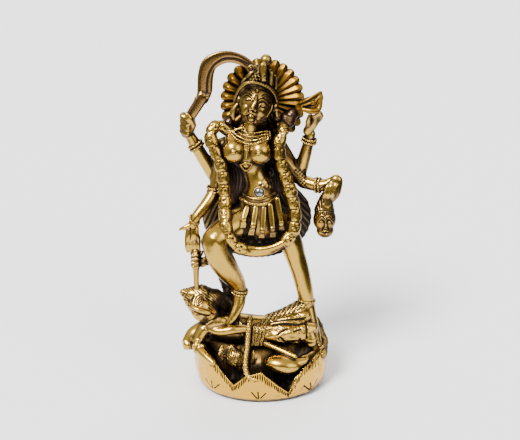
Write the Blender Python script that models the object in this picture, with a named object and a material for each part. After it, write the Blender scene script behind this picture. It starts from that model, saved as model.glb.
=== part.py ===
"""Cast brass statue of Kali standing on the reclining Shiva, with the glass stone set in the belly.

The casting is one solid. Its forms are modelled as overlapping closed shells, measured in millimetres
on the statue itself, and fused into one skin. +Z is up, -Y is the front, and the origin is the middle
of the flat underside.
"""

import math

import bpy
import numpy as np
from mathutils import Euler, Vector

# Driving dimensions, in metres
BASE_WIDTH = 0.100
BASE_DEPTH = 0.086
BASE_HEIGHT = 0.030
FIGURE_HEIGHT = 0.220
STONE_DIAMETER = 0.0072
STONE_HEIGHT = 0.0042
STONE_SEAT = 0.0022
STONE_CLEARANCE = 0.0003
SKIN_GRID = 0.00085
SKIN_TRIANGLES = 9600

# The statue that the figures' points were measured on: its plateau and the height above it, in millimetres
MEASURED_PLATEAU = 30.0
MEASURED_FIGURE = 220.0
SCALE = FIGURE_HEIGHT / MEASURED_FIGURE

BRASS = (0.66, 0.42, 0.15, 1.0)
GLASS = (0.72, 0.76, 0.78, 1.0)


def at(points):
    """Points measured on the statue, in millimetres, as places in metres above this base's plateau."""
    points = np.asarray(points, float)
    lifted = points * SCALE
    lifted[..., 2] = BASE_HEIGHT + (points[..., 2] - MEASURED_PLATEAU) * SCALE
    return lifted


class Skin:
    """The closed shells that are fused into the casting."""

    def __init__(self):
        self.points = []
        self.faces = []
        self.count = 0

    def add(self, points, faces):
        self.points.append(np.asarray(points, float))
        self.faces.extend([tuple(int(i) + self.count for i in face) for face in faces])
        self.count += len(points)

    def all_points(self):
        return np.concatenate(self.points)


def smooth_path(points, steps):
    """A Catmull-Rom curve through rows of numbers, with so many steps between each two."""
    rows = np.asarray(points, float)
    padded = np.vstack([2 * rows[0] - rows[1], rows, 2 * rows[-1] - rows[-2]])
    out = []
    for i in range(len(rows) - 1):
        a, b, c, d = padded[i : i + 4]
        for t in np.arange(steps) / steps:
            bend, twist = 2 * a - 5 * b + 4 * c - d, 3 * b - a - 3 * c + d
            out.append(0.5 * (2 * b + (c - a) * t + bend * t**2 + twist * t**3))
    out.append(rows[-1])
    return np.array(out)


def ring_faces(rings, sides):
    """Quads between rings of points, and a fan of one face over each end."""
    faces = [
        (r * sides + s, r * sides + (s + 1) % sides, (r + 1) * sides + (s + 1) % sides, (r + 1) * sides + s)
        for r in range(rings - 1)
        for s in range(sides)
    ]
    faces.append(tuple(range(sides))[::-1])
    faces.append(tuple((rings - 1) * sides + s for s in range(sides)))
    return faces


def limb(skin, stations, sides=12, steps=5, thin=1.0, across=(0, 1, 0), boxy=1.0):
    """A rounded bar through stations of x, y, z and radius. It is thin times as thick along across.

    The section is an ellipse, and a boxy under 1 squares its corners.
    """
    path = smooth_path(stations, steps)
    centre, radius = path[:, :3], np.maximum(path[:, 3], 0.3)
    ahead = np.gradient(centre, axis=0)
    ahead /= np.linalg.norm(ahead, axis=1)[:, None]
    # Two short steps past each end close it as half a ball
    domes = ((0.5, 0.87), (0.87, 0.5), (1.0, 0.15))
    first = [(centre[0] - ahead[0] * radius[0] * s, ahead[0], radius[0] * c) for s, c in reversed(domes)]
    last = [(centre[-1] + ahead[-1] * radius[-1] * s, ahead[-1], radius[-1] * c) for s, c in domes]
    rows = first + list(zip(centre, ahead, radius)) + last
    across = np.asarray(across, float)
    angles = np.arange(sides) * 2 * math.pi / sides
    wide = np.sign(np.cos(angles)) * np.abs(np.cos(angles)) ** boxy
    deep = np.sign(np.sin(angles)) * np.abs(np.sin(angles)) ** boxy * thin
    points = []
    for middle, direction, r in rows:
        depth = across - direction * (across @ direction)
        if np.linalg.norm(depth) < 0.2:
            depth = np.cross(direction, (1.0, 0.0, 0.0))
        depth /= np.linalg.norm(depth)
        side = np.cross(depth, direction)
        ring = np.outer(wide, side) * r + np.outer(deep, depth) * r
        points.append(middle + ring)
    skin.add(at(np.concatenate(points)), ring_faces(len(rows), sides))


def lump(skin, centre, radii, turn=(0, 0, 0), sides=20, rings=12):
    """An egg of three radii, turned by degrees about X, Y and Z."""
    matrix = np.array(Euler([math.radians(a) for a in turn]).to_matrix())
    lean = math.pi * (np.arange(rings) + 0.5) / rings
    angle = np.arange(sides) * 2 * math.pi / sides
    unit = np.stack(
        [
            np.outer(np.sin(lean), np.cos(angle)),
            np.outer(np.sin(lean), np.sin(angle)),
            np.outer(-np.cos(lean), np.ones(sides)),
        ],
        axis=-1,
    ).reshape(-1, 3)
    skin.add(at(unit * np.asarray(radii) @ matrix.T + np.asarray(centre)), ring_faces(rings, sides))


def smooth_step(value, low, high):
    t = np.clip((value - low) / (high - low), 0, 1)
    return t * t * (3 - 2 * t)


# The rock base


def base(skin):
    """An oval boulder with a flat underside. Its front wall has a zigzag rim with two hollows behind it."""
    rim_x = (-49, -41, -32, -20, -11, 0, 9, 20, 31, 42, 49)
    rim_z = (33, 34, 26, 13, 22, 25, 17, 7, 24, 31, 33)
    around, across = 96, 26
    half_width, half_depth = BASE_WIDTH / 2, BASE_DEPTH / 2
    angle = np.arange(around) * 2 * math.pi / around
    roundness = 2.05
    reach = (np.abs(np.cos(angle)) ** roundness + np.abs(np.sin(angle)) ** roundness) ** (-1 / roundness)
    outline = np.stack([np.cos(angle) * reach, np.sin(angle) * reach], axis=-1)
    measured_half_width, measured_half_depth = 50.0, 43.0

    def top(shares):
        """Height as a share of the base's height, over shares of its half width and half depth."""
        x, y = shares[:, 0] * measured_half_width, shares[:, 1] * measured_half_depth
        edge = 1 - np.hypot(shares[:, 0], shares[:, 1]) / np.interp(
            np.arctan2(shares[:, 1], shares[:, 0]) % (2 * math.pi), angle, reach, period=2 * math.pi
        )
        front = smooth_step(-y, 4, 12)
        crest = np.interp(x, rim_x, rim_z)
        mound = 34 - 8 * smooth_step(y, 8, 43) - 3 * smooth_step(np.abs(x), 38, 49)
        inside = smooth_step(edge, 0.10, 0.17) * smooth_step(-y, 13, 17)
        left = inside * smooth_step(x, -37, -31) * smooth_step(-x, 7, 12)
        right = inside * smooth_step(x, 9, 14) * smooth_step(-x, -43, -38)
        bank = crest + (mound - crest) * smooth_step(edge, 0.25, 0.6)
        ground = mound + (bank - mound) * front
        floor = 6.0
        return (ground + (floor - ground) * np.clip(left + right, 0, 1)) / MEASURED_PLATEAU

    rows = []
    foot = ((0.0, 0.5), (0.0, 0.87), (0.03, 0.91), (0.13, 0.955), (0.3, 0.985), (0.5, 1.0), (0.75, 0.995))
    rim_height = top(outline * 0.985)
    for share, spread in foot:
        height = np.minimum(share, rim_height * (share + 0.2))
        rows.append(np.column_stack([outline * spread, height]))
    for step in np.linspace(0.975, 0.03, across):
        rows.append(np.column_stack([outline * step, top(outline * step)]))
    shares = np.concatenate(rows)
    skin.add(shares * (half_width, half_depth, BASE_HEIGHT), ring_faces(len(rows), around))
    # The boulder climbs behind the front foot on the right, and under the propped arm on the left
    limb(skin, [(36, 6, 49, 5), (40, 5, 42, 6.5), (42, 2, 30, 8)])
    limb(skin, [(-40, 0, 34, 9), (-30, 4, 36, 10), (0, 8, 36, 11), (24, 8, 36, 11)])


# The reclining figure


def shiva_body(skin):
    """The torso lies across the mound with the head to the left, propped on one arm."""
    limb(skin, [(-31, -9, 47, 10.5), (-18, -8, 46, 11.5), (0, -5, 44, 10), (12, -4, 42, 11)], thin=0.95)
    limb(skin, [(-34, -11, 50, 6.5), (-39, -13, 58, 5.5)])
    # Arm on the rock, then the arm that lies along the chest
    limb(skin, [(-37, -12, 51, 5.5), (-45, -12, 45, 5.4), (-54, -13, 36, 4.6), (-50, -19, 34.5, 4.2)])
    limb(skin, [(-39, -15, 49, 5), (-31, -20, 48, 4.8), (-21, -21, 50.5, 4.4), (-12, -19, 50, 3.6)])
    for step in range(4):
        knuckle = (-50 + 3 * step, -21, 36 - step, 1.7)
        tip = (-48 + 4 * step, -26, 32 - 2.5 * step, 1.3)
        limb(skin, [knuckle, tip], sides=8)


def shiva_head(skin):
    """The head leans back to the left, with a top knot and hair down to the shoulder."""
    lump(skin, (-42.5, -15, 65), (9.5, 9.5, 12), turn=(0, -42, 0))
    lump(skin, (-41, -9, 70), (13, 9, 9), turn=(0, 10, 0))
    limb(skin, [(-44, -11, 74, 8), (-51, -12, 75, 6), (-57, -12, 76, 3.6)])
    limb(skin, [(-34, -7, 70, 7), (-28, -4, 63, 6.5), (-24, -1, 56, 6)])
    limb(skin, [(-49, -22, 68, 1.3), (-45, -25.4, 62.5, 2.0)], sides=8)
    limb(skin, [(-43, -24, 59, 2.0), (-38, -24, 60.5, 1.8)], sides=8)
    lump(skin, (-36, -21, 56.5), (4, 3.5, 3.5))


def shiva_legs(skin):
    """One knee is raised under the goddess's back foot. The other leg lies folded at the front."""
    limb(skin, [(6, -3, 44, 10), (20, -1, 51, 8.5), (33, 1, 60, 6.5)])
    limb(skin, [(10, -8, 42, 9), (24, -10, 41, 9), (34, -11, 42, 7)])
    lump(skin, (13, -26, 27.5), (13, 9, 7.6), turn=(0, 6, 0))
    limb(skin, [(20, -26, 26, 5.5), (27, -26, 26, 3.8), (31, -25, 27, 2.6)])
    limb(skin, [(0, -17, 39.5, 2.6), (11, -23, 36.5, 2.2), (23, -27, 31, 1.9)], sides=8)


def tiger_skin(skin):
    """The skin wrapped round the hips, with a rolled upper edge and a hem over the thighs."""
    limb(skin, [(4, -2, 53, 2.6), (16, -3, 56, 3), (30, -2, 65, 3)], sides=10)
    limb(skin, [(3, -13, 45, 4), (16, -16, 43, 4.5), (30, -15, 44, 4)], thin=0.7)
    limb(skin, [(3, -16, 38, 3), (16, -19, 37, 3), (31, -18, 40, 3)], thin=0.7)


def snake_and_sash(skin):
    """A snake falls from the waist to the rim of the rock, beside two folds of a sash."""
    limb(
        skin,
        [
            (-9, -4, 56, 3.0),
            (-8.5, -14, 54, 3.0),
            (-9.5, -20, 46, 3.0),
            (-10.5, -25, 38, 2.9),
            (-10.5, -32, 30, 2.8),
            (-10, -38, 24, 2.8),
            (-5, -40, 22, 2.4),
        ],
        sides=10,
    )
    limb(skin, [(-14, -10, 54, 1.6), (-14.5, -18, 50, 1.6), (-14, -20, 43, 1.4)], sides=8)
    limb(skin, [(0, -4, 54, 3), (-1, -13, 51, 3.2), (-4, -17, 43, 3.2), (-6, -18, 35, 2.6)], thin=0.7)
    limb(skin, [(-3, -21, 30, 3), (-2, -24, 25, 3.4)], thin=0.6)
    limb(skin, [(-21.5, -18, 40, 3.4), (-20, -23, 33, 6), (-17.5, -24, 24, 3.4)], thin=0.7)
    limb(skin, [(-32, -18, 41, 3.4), (-33.5, -20, 35, 3.2)], thin=0.8)


# The standing figure


def legs(skin):
    """The right knee comes forward with its foot on the chest below, and the left leg is straight."""
    limb(skin, [(-8, -1, 130, 12.5), (-22, -9, 125, 12), (-32, -17, 119, 10.5)])
    limb(
        skin,
        [
            (-32, -17, 118, 10.5),
            (-30.5, -17, 108, 9.8),
            (-25, -14, 96, 8.8),
            (-18.5, -9, 84, 6.8),
            (-15.6, -7, 76.5, 5.2),
        ],
    )
    limb(skin, [(-15.6, -7, 76, 5.2), (-16.5, -11, 67, 5.2), (-21.5, -15, 57, 4.6), (-26.5, -18, 50.5, 3)])
    limb(
        skin,
        [
            (11, 2, 127, 12),
            (21, 2, 112, 9),
            (25.5, 2, 99, 7.6),
            (29.5, 1, 86, 6.9),
            (32.5, 0, 73, 6.2),
            (34.4, 0, 63, 5.6),
        ],
    )
    limb(skin, [(34.5, 1, 62, 5.6), (37, -3, 51, 5.2), (40.5, -7, 39, 4.6), (42.5, -11, 29, 3.4)])
    # Anklets
    for middle, size in (((-15.6, -7.5, 77.5), 6.0), ((34, 0, 65.5), 6.4)):
        lump(skin, middle, (size, size, 1.6), turn=(0, 12, 0), rings=8)


def torso(skin):
    """A slim waist between the round belly and the chest, with two shoulders to each side."""
    limb(
        skin,
        [
            (0, 3, 126, 18),
            (-1, 1, 140, 16),
            (-2, -0.5, 150, 13.5),
            (-4, 0, 159, 9.5),
            (-6, 1, 168, 10),
            (-8, 1, 177, 14),
            (-8, 2, 186, 12),
        ],
        sides=20,
        thin=0.78,
    )
    limb(skin, [(-27, 3, 183, 6), (-8, 3, 187, 7), (12, 3, 185, 6)])
    limb(skin, [(-8, 1, 188, 6.2), (-7, -1, 199, 5.6)])
    for x in (-18.2, -0.2):
        lump(skin, (x, -8.5, 182.2), (7.6, 7.4, 8.2))
    # Collar, and the strand with a pendant between the breasts
    limb(skin, [(-21, -5, 190, 2.2), (-9.5, -11, 186.5, 2.8), (3.5, -6, 190, 2.2)], sides=8)
    limb(skin, [(-9.6, -12, 186, 2.2), (-9.8, -13.5, 178, 1.7), (-10.6, -11, 171.5, 2.6)], sides=8)


def arms(skin):
    """Four arms. Both upper ones bend up from low elbows, and both lower ones reach out to the sides."""
    limb(skin, [(-27, 3, 183, 6), (-32, 5, 170, 5), (-33, 4, 160, 5.2)])
    limb(skin, [(-33, 4, 160, 5.2), (-40, 3, 172, 4.8), (-47, 1, 185, 4.2), (-50, 0, 190, 3.6)])
    limb(skin, [(12, 3, 184, 6), (21, 5, 170, 5), (27, 4, 159, 5)])
    limb(skin, [(27, 4, 159, 5), (31, 2, 175, 4.6), (34, 1, 187, 3.8), (35.5, 0, 192, 3.2)])
    limb(skin, [(-26, 2, 178, 5.5), (-31, 1, 162, 4.8), (-33, 0, 150, 4.8)])
    limb(skin, [(-33, 0, 150, 4.8), (-39, -5, 142, 4.4), (-46, -9, 134, 3.8), (-49, -10.5, 129, 3.2)])
    limb(skin, [(12, 2, 178, 5.5), (22, 2, 166, 5), (30, 0, 157, 4.8)])
    limb(skin, [(30, 0, 157, 4.8), (42, -4, 155.5, 4.6), (50, -6, 158, 3.6)])
    # Bangles on the two raised wrists and an armlet
    bangles = (((34.3, 0.8, 188), 4.8, 12), ((43, -4, 155.6), 5.4, -70), ((-33, 0, 152), 5.8, 12))
    for middle, size, turn in bangles:
        lump(skin, middle, (size, size, 2), turn=(0, turn, 0), rings=8)


def hands(skin):
    """The open hand, the fist on the sword, the hand under the bowl, and the fist that holds the hair."""
    # Open palm, pointing down with the thumb out
    limb(skin, [(-48, -10, 131, 3.6), (-49.5, -11.5, 121, 5.2)], thin=0.5)
    for step in range(4):
        x = -53.5 + 2.9 * step
        tip = 107 + abs(step - 1.5)
        limb(skin, [(x, -11.5, 119, 1.6), (x, -12.5, 112, 1.5), (x + 0.5, -12, tip, 1.3)], sides=8)
    limb(skin, [(-49, -11, 128, 2.2), (-53.5, -12, 127, 1.8), (-58, -12, 125, 1.2)], sides=8)
    # Fist round the grip
    lump(skin, (-50, -1, 193), (5.6, 5, 7.5), turn=(0, 25, 0))
    for step in range(4):
        x, z = -54 + step, 187 + 3.4 * step
        limb(skin, [(x, -2, z, 1.7), (x + 3, -6, z + 1, 1.7), (-47.5, -4, z + 1.5, 1.5)], sides=8)
    # Hand under the bowl
    limb(skin, [(35.5, 0, 193, 3.6), (39, -1, 199, 4.6)], thin=0.7)
    for step in range(4):
        x, y = 36 + 2 * step, -3 + step
        limb(skin, [(x, y, 198, 1.5), (x + 3, y - 1, 203, 1.5), (42 + step, y, 207, 1.2)], sides=8)
    # Bent wrist and the fist on the hair
    limb(skin, [(50, -6, 158, 4), (53.5, -7, 157, 4.2), (52, -7, 150, 4.4), (50, -7, 146, 3.8)], thin=0.8)
    for step in range(3):
        x = 52 - 3 * step
        limb(skin, [(x, -10, 156, 1.6), (x - 2, -11.5, 151, 1.5), (x - 3, -10, 147, 1.3)], sides=8)


def head(skin):
    """The face leans over the right shoulder, under hair, a tiered crown and its knob."""
    lean = (0, 12, 0)
    lump(skin, (-4.6, -5, 211.5), (12.8, 12.5, 16.5), turn=lean)
    lump(skin, (-2.5, 1, 217), (16, 9, 17), turn=lean)
    lump(skin, (-7.5, -9, 198.5), (4.6, 5.5, 3.6), turn=lean)
    limb(skin, [(-3.6, -17, 216, 1.3), (-5.2, -18.8, 209.5, 2.3)], sides=8)
    limb(skin, [(-8.5, -15.5, 203.5, 2.6), (-9.6, -16.8, 199.5, 2.2)], sides=8, thin=0.7)
    # Crown: a band over the brow, tiers and a knob
    band = [(-18, -5, 216), (-11, -11, 225), (-1.5, -13.5, 229), (9, -10, 224), (15, -4, 214)]
    limb(skin, [(*point, 2.6) for point in band], sides=8)
    limb(skin, [(-0.5, -5, 227, 11), (0.8, -5, 233, 7), (2.2, -4, 238, 3.8)])
    lump(skin, (3.3, -2.5, 243.2), (3.8, 3.6, 3.8))
    lump(skin, (-7.8, -4, 236.8), (3.8, 3.4, 3.6))
    limb(skin, [(9, -3, 228, 3.2), (9.6, -2, 236, 2.6)], sides=8)
    # Ears with long drops
    lump(skin, (-18.6, -4, 208), (2.6, 3.4, 5.2), turn=lean)
    lump(skin, (-19.4, -5, 201), (3, 3, 5), turn=(0, -8, 0))
    lump(skin, (12.2, -3.5, 205.5), (3, 3.4, 5), turn=lean)
    lump(skin, (14.5, -3, 199), (4, 3.6, 4.2))


def halo(skin):
    """A fan of hair behind the head: a scalloped arch whose rays rise from the middle."""
    lobes, per_lobe, rings = 28, 8, 7
    around = lobes * per_lobe
    angle = np.arange(around) * 2 * math.pi / around
    wide, up, down = 29.8, 30.5, 27.0
    height = np.where(np.sin(angle) > 0, up, down)
    power = np.where(np.sin(angle) > 0, 2.1, 3.0)
    reach = (np.abs(np.cos(angle) / wide) ** power + np.abs(np.sin(angle) / height) ** power) ** (-1 / power)
    swell = np.abs(np.sin(angle * lobes / 2))
    middle = np.array((1.0, 8.0, 214.0))
    rows = []
    for share in np.linspace(0.15, 1, rings):
        radius = reach * share * (1 - 0.06 * share * (1 - swell))
        front = -1.0 - 2.2 * share * swell + share**2
        rows.append(np.stack([np.cos(angle) * radius, front, np.sin(angle) * radius], axis=-1))
    for share, back in ((0.93, 1.8), (0.48, 2.6), (0.15, 3.0)):
        depth = np.full(around, back)
        rows.append(np.stack([np.cos(angle) * reach * share, depth, np.sin(angle) * reach * share], axis=-1))
    skin.add(at(np.concatenate(rows) + middle), ring_faces(len(rows), around))
    # Curls where the fan meets the shoulders
    for x, z, size in ((20, 197, 6.5), (27.5, 193, 5), (23, 205, 5), (-22, 201, 4.6), (-24, 194.5, 3.6)):
        lump(skin, (x, 4, z), (size, 4, size * 0.7), turn=(0, 25 if x > 0 else -35, 0))


def sword(skin):
    """The curved sword: a square grip, then a broad flat blade that arches over to the crown."""
    limb(skin, [(-53, -2, 200, 3.4), (-48, -2, 207.5, 3.6), (-40.5, -1, 219, 4.0)], sides=8, thin=0.8)
    limb(
        skin,
        [
            (-40.5, -1, 218, 4.4),
            (-39.0, -1, 224, 5.4),
            (-38.2, -1, 234, 5.8),
            (-35.6, -1, 242, 5.8),
            (-29, -1, 246, 5.2),
            (-21, -1, 247, 4.5),
            (-13, -1, 244.6, 4.0),
            (-6.5, -2, 240.5, 3.2),
        ],
        sides=16,
        thin=0.34,
        boxy=0.55,
    )


def bowl(skin):
    """The skull cup in the upper left hand: a pointed half shell with a thick lip."""
    shell = [(29, 0, 205, 3.2), (34, -1, 207, 6), (39, -2, 211, 6), (42, -2, 217, 3.6), (43, -2, 221, 1.2)]
    limb(skin, shell, thin=0.8)
    limb(skin, [(31, -5, 203, 1.8), (38, -6, 204, 2.2), (43, -4, 209, 1.8), (44, -3, 219, 1.3)], sides=8)


def severed_head(skin):
    """A bearded head that hangs by its hair."""
    limb(skin, [(49.5, -6.5, 152, 4), (46, -7, 145, 5.4), (45.4, -7, 138, 7.4)])
    lump(skin, (45.4, -8, 131.5), (8.4, 7.4, 9))
    limb(skin, [(46, -8.5, 126, 7), (46.2, -9, 120.5, 4.4)], thin=0.9)
    limb(skin, [(46.4, -15, 134, 1.1), (46.8, -16, 128.5, 1.7)], sides=8)
    limb(skin, [(39, -12, 134.5, 1.1), (46, -15.6, 136, 1.3), (52, -12.5, 135, 1.1)], sides=8)


def garland(skin):
    """A heavy cord of skulls that hangs from both shoulders to below the hem of the skirt."""
    path = smooth_path(
        [
            (-22, 1, 193),
            (-28, 0, 198),
            (-34.5, -2, 195.5),
            (-34.5, -5, 187),
            (-29.5, -7, 175.5),
            (-27, -8, 165.5),
            (-26, -9, 154.5),
            (-25.6, -10, 144.6),
            (-25.2, -12, 133.6),
            (-22.6, -15.5, 123.6),
            (-16, -18, 115.2),
            (-8, -19, 111.5),
            (2, -19, 111.2),
            (10, -18, 113.5),
            (17.5, -16.5, 118.1),
            (23, -14.5, 125.8),
            (24.4, -12.5, 136.9),
            (22.4, -11, 146.6),
            (19.7, -10, 157),
            (16.5, -9, 166.6),
            (13.2, -8, 178),
            (13, -6.5, 188),
            (15, -3, 195.5),
            (13, 2, 199),
        ],
        12,
    )
    core = 3.6
    limb(skin, [(*p, core) for p in path[::6]], sides=10, steps=2)
    steps = np.linalg.norm(np.diff(path, axis=0), axis=1)
    length = np.concatenate([[0], np.cumsum(steps)])
    skulls = 28
    for share in (np.arange(skulls) + 0.5) / skulls:
        place = [np.interp(share * length[-1], length, path[:, i]) for i in range(3)]
        lump(skin, place, (5.0, 4.8, 4.5), sides=12, rings=8)


def skirt(skin):
    """A belt with a fringe of severed arms over a short leaf skirt."""
    lump(skin, (-1, 2, 124), (27, 14, 20))
    belt = [(-17, -4, 148.5), (-9, -10.5, 144.5), (0, -12, 143.8), (9, -9.5, 146.5), (15, -3, 151)]
    limb(skin, [(*point, 2.4) for point in belt], sides=8)
    count = 6
    for step in range(count):
        spread = step / (count - 1) * 2 - 1
        top = (-1 + 11 * spread, -11.5 + 3 * spread**2, 142 + 2 * spread**2)
        low = (0.5 + 19 * spread, -15.5 + 5 * spread**2, 119 + 2.5 * spread**2)
        middle = tuple((a + b) / 2 for a, b in zip(top, low))
        limb(skin, [(*top, 2.2), (*middle, 2.2), (*low, 1.9)], sides=8)
        lump(skin, (low[0], low[1], low[2] - 2.5), (2.4, 1.5, 3.2), rings=8, sides=10)
    # Leaf points along the hem
    leaves = 7
    for step in range(leaves):
        spread = step / (leaves - 1) * 2 - 1
        lump(skin, (18 * spread, -12 + 5 * spread**2, 112 + 3 * spread**2), (3.4, 2.4, 6))


def back_hair(skin):
    """Long hair that falls behind the shoulders and spreads behind the skirt."""
    lump(skin, (-3, 14, 126), (41, 7, 33))
    limb(skin, [(-5, 10, 190, 15), (-6, 12, 170, 17), (-4, 13, 148, 22)], sides=16, thin=0.35)


def props(skin):
    """Casting struts: one under the open hand to the head below, and one behind the front leg."""
    limb(skin, [(-47, -12, 107, 3.6), (-47, -13, 100, 4), (-47, -14, 94, 2.6)])
    limb(skin, [(-47, -14, 94, 2.6), (-47, -14, 84, 2.2), (-46, -14, 76, 2.8)])
    limb(skin, [(-45, -12, 102, 4), (-38, -12, 101, 4.2), (-33, -12, 104, 4)])
    limb(skin, [(-40, 6, 108, 5), (-33, 5, 96, 5), (-27, 4, 82, 4.6), (-24.5, 3, 68, 5), (-24, 1, 56, 6)])


def casting():
    """The whole statue as one fused skin, thinned to the triangle budget, with the stone's seat cut in."""
    skin = Skin()
    for form in (
        base,
        shiva_body,
        shiva_head,
        shiva_legs,
        tiger_skin,
        snake_and_sash,
        legs,
        torso,
        arms,
        hands,
        head,
        halo,
        sword,
        bowl,
        severed_head,
        garland,
        skirt,
        back_hair,
        props,
    ):
        form(skin)
    mesh = bpy.data.meshes.new("kali_statue")
    mesh.from_pydata(skin.all_points().tolist(), [], skin.faces)
    statue = bpy.data.objects.new("kali_statue", mesh)
    bpy.context.scene.collection.objects.link(statue)
    fuse = statue.modifiers.new("fuse", "REMESH")
    fuse.mode = "VOXEL"
    fuse.voxel_size = SKIN_GRID
    soften = statue.modifiers.new("soften", "SMOOTH")
    soften.factor = 0.5
    soften.iterations = 2
    thin = statue.modifiers.new("thin", "DECIMATE")
    thin.ratio = min(1.0, SKIN_TRIANGLES / triangle_count(statue))
    return statue


def triangle_count(obj):
    """Triangles of the object as its modifiers leave it so far."""
    evaluated = obj.evaluated_get(bpy.context.evaluated_depsgraph_get())
    return sum(len(face.vertices) - 2 for face in evaluated.data.polygons)


def finish(obj, colour, roughness, metallic):
    """A plain material on the object, and smooth shading with sharp creases kept."""
    material = bpy.data.materials.new(obj.name)
    material.use_nodes = True
    shader = material.node_tree.nodes["Principled BSDF"]
    shader.inputs["Base Color"].default_value = colour
    shader.inputs["Roughness"].default_value = roughness
    shader.inputs["Metallic"].default_value = metallic
    obj.data.materials.append(material)
    obj.data.shade_smooth()


def turned(name, profile, place, lean, sides=24):
    """A closed turned solid from radius and height pairs along its own axis, which leans from +Z."""
    angles = np.arange(sides) * 2 * math.pi / sides
    rows = [np.column_stack([np.cos(angles) * r, np.sin(angles) * r, np.full(sides, h)]) for r, h in profile]
    mesh = bpy.data.meshes.new(name)
    mesh.from_pydata(np.concatenate(rows).tolist(), [], ring_faces(len(rows), sides))
    obj = bpy.data.objects.new(name, mesh)
    obj.location = place
    obj.rotation_euler = lean
    bpy.context.scene.collection.objects.link(obj)
    return obj


def stone_and_seat(statue):
    """The domed glass stone, and the round seat cut for it with clearance all round."""
    place = Vector(at((-1.2, -12.2, 153.0)))
    lean = (math.radians(80), 0, 0)
    radius = STONE_DIAMETER / 2
    seat_radius = radius + STONE_CLEARANCE
    reach = 2 * STONE_HEIGHT
    bottom = -STONE_SEAT - STONE_CLEARANCE
    seat = turned("stone_seat", [(seat_radius, bottom), (seat_radius, reach)], place, lean)
    seat.hide_render = True
    seat.display_type = "WIRE"
    cut = statue.modifiers.new("seat", "BOOLEAN")
    cut.operation = "DIFFERENCE"
    cut.object = seat
    dome = STONE_HEIGHT - STONE_SEAT
    profile = [(radius, -STONE_SEAT), (radius, 0.0)]
    profile += [(radius * math.cos(a), dome * math.sin(a)) for a in np.radians((25, 50, 70, 84))]
    return turned("navel_stone", profile, place, lean)


for old in list(bpy.data.objects):
    bpy.data.objects.remove(old)

statue = casting()
stone = stone_and_seat(statue)
finish(statue, BRASS, 0.3, 1.0)
finish(stone, GLASS, 0.08, 0.9)
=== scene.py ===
"""The finish of the cast brass Kali statue, worked out in millimetres on the statue itself."""

import math

import bpy
import numpy as np
from mathutils import Euler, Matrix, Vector
from mathutils.bvhtree import BVHTree


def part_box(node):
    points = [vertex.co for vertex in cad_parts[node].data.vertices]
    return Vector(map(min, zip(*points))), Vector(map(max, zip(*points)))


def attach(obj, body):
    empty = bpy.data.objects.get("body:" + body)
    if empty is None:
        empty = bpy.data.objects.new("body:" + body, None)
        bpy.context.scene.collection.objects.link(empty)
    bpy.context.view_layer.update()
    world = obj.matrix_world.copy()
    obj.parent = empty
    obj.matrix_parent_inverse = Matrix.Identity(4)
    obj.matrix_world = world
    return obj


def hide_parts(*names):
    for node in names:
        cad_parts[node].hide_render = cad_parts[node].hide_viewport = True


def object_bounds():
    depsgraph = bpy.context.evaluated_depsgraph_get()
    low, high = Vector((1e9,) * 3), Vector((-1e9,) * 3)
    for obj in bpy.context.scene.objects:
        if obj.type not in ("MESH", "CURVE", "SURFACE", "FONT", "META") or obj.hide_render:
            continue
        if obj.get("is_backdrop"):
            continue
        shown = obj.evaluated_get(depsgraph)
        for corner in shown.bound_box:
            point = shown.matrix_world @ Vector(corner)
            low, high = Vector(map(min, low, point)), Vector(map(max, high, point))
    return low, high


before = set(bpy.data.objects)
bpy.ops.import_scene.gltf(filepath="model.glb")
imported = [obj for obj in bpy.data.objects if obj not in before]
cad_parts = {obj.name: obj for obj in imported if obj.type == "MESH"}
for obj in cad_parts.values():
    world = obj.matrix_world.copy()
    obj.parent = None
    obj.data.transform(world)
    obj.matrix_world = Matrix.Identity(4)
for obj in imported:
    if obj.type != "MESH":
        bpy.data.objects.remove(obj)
cad_low, cad_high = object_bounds()

# Rock base: an oval boulder, cast in one with the figures on it and hollowed from below by the founder.
# Its front rim zigzags like torn turf over two hollows, and the moulder cut short grass strokes
# along the rim and in three tufts on the wall. The hollows are painted black as shade, and the top behind the
# rim is painted darker as shade under the figures.
MEASURED_HEIGHT = 251.7
MM = (cad_high.z - cad_low.z) / MEASURED_HEIGHT
BASE_HALF_WIDTH, BASE_HALF_DEPTH, BASE_ROUNDNESS = 50.0, 43.0, 2.05
RIM_X = (-49, -41, -32, -20, -11, 0, 9, 20, 31, 42, 49)
RIM_Z = (33, 34, 26, 13, 22, 25, 17, 7, 24, 31, 33)


def rise(value, low, high):
    """0 below low and 1 above high, with 3 t^2 - 2 t^3 between them."""
    t = np.clip((value - low) / (high - low), 0, 1)
    return t * t * (3 - 2 * t)


def oval_reach(angle):
    """The radius of a superellipse of half sizes 1: (|cos|^n + |sin|^n)^(-1/n)."""
    n = BASE_ROUNDNESS
    return (np.abs(np.cos(angle)) ** n + np.abs(np.sin(angle)) ** n) ** (-1 / n)


def wall_spread(height):
    """How far out the boulder's wall is at a height, as a share of its widest oval."""
    return np.interp(height, (0, 1, 4, 9, 15, 23, 32), (0.87, 0.91, 0.955, 0.985, 1.0, 0.995, 0.97))


def hollow_share(x, y, share):
    """1 inside the two hollows behind the front rim and 0 outside, at a share of the outline's reach."""
    inside = rise(1 - share, 0.075, 0.15) * rise(-y, 13, 17)
    return inside * (rise(x, -37, -31) * rise(-x, 7, 12) + rise(x, 9, 14) * rise(-x, -43, -38))


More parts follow.
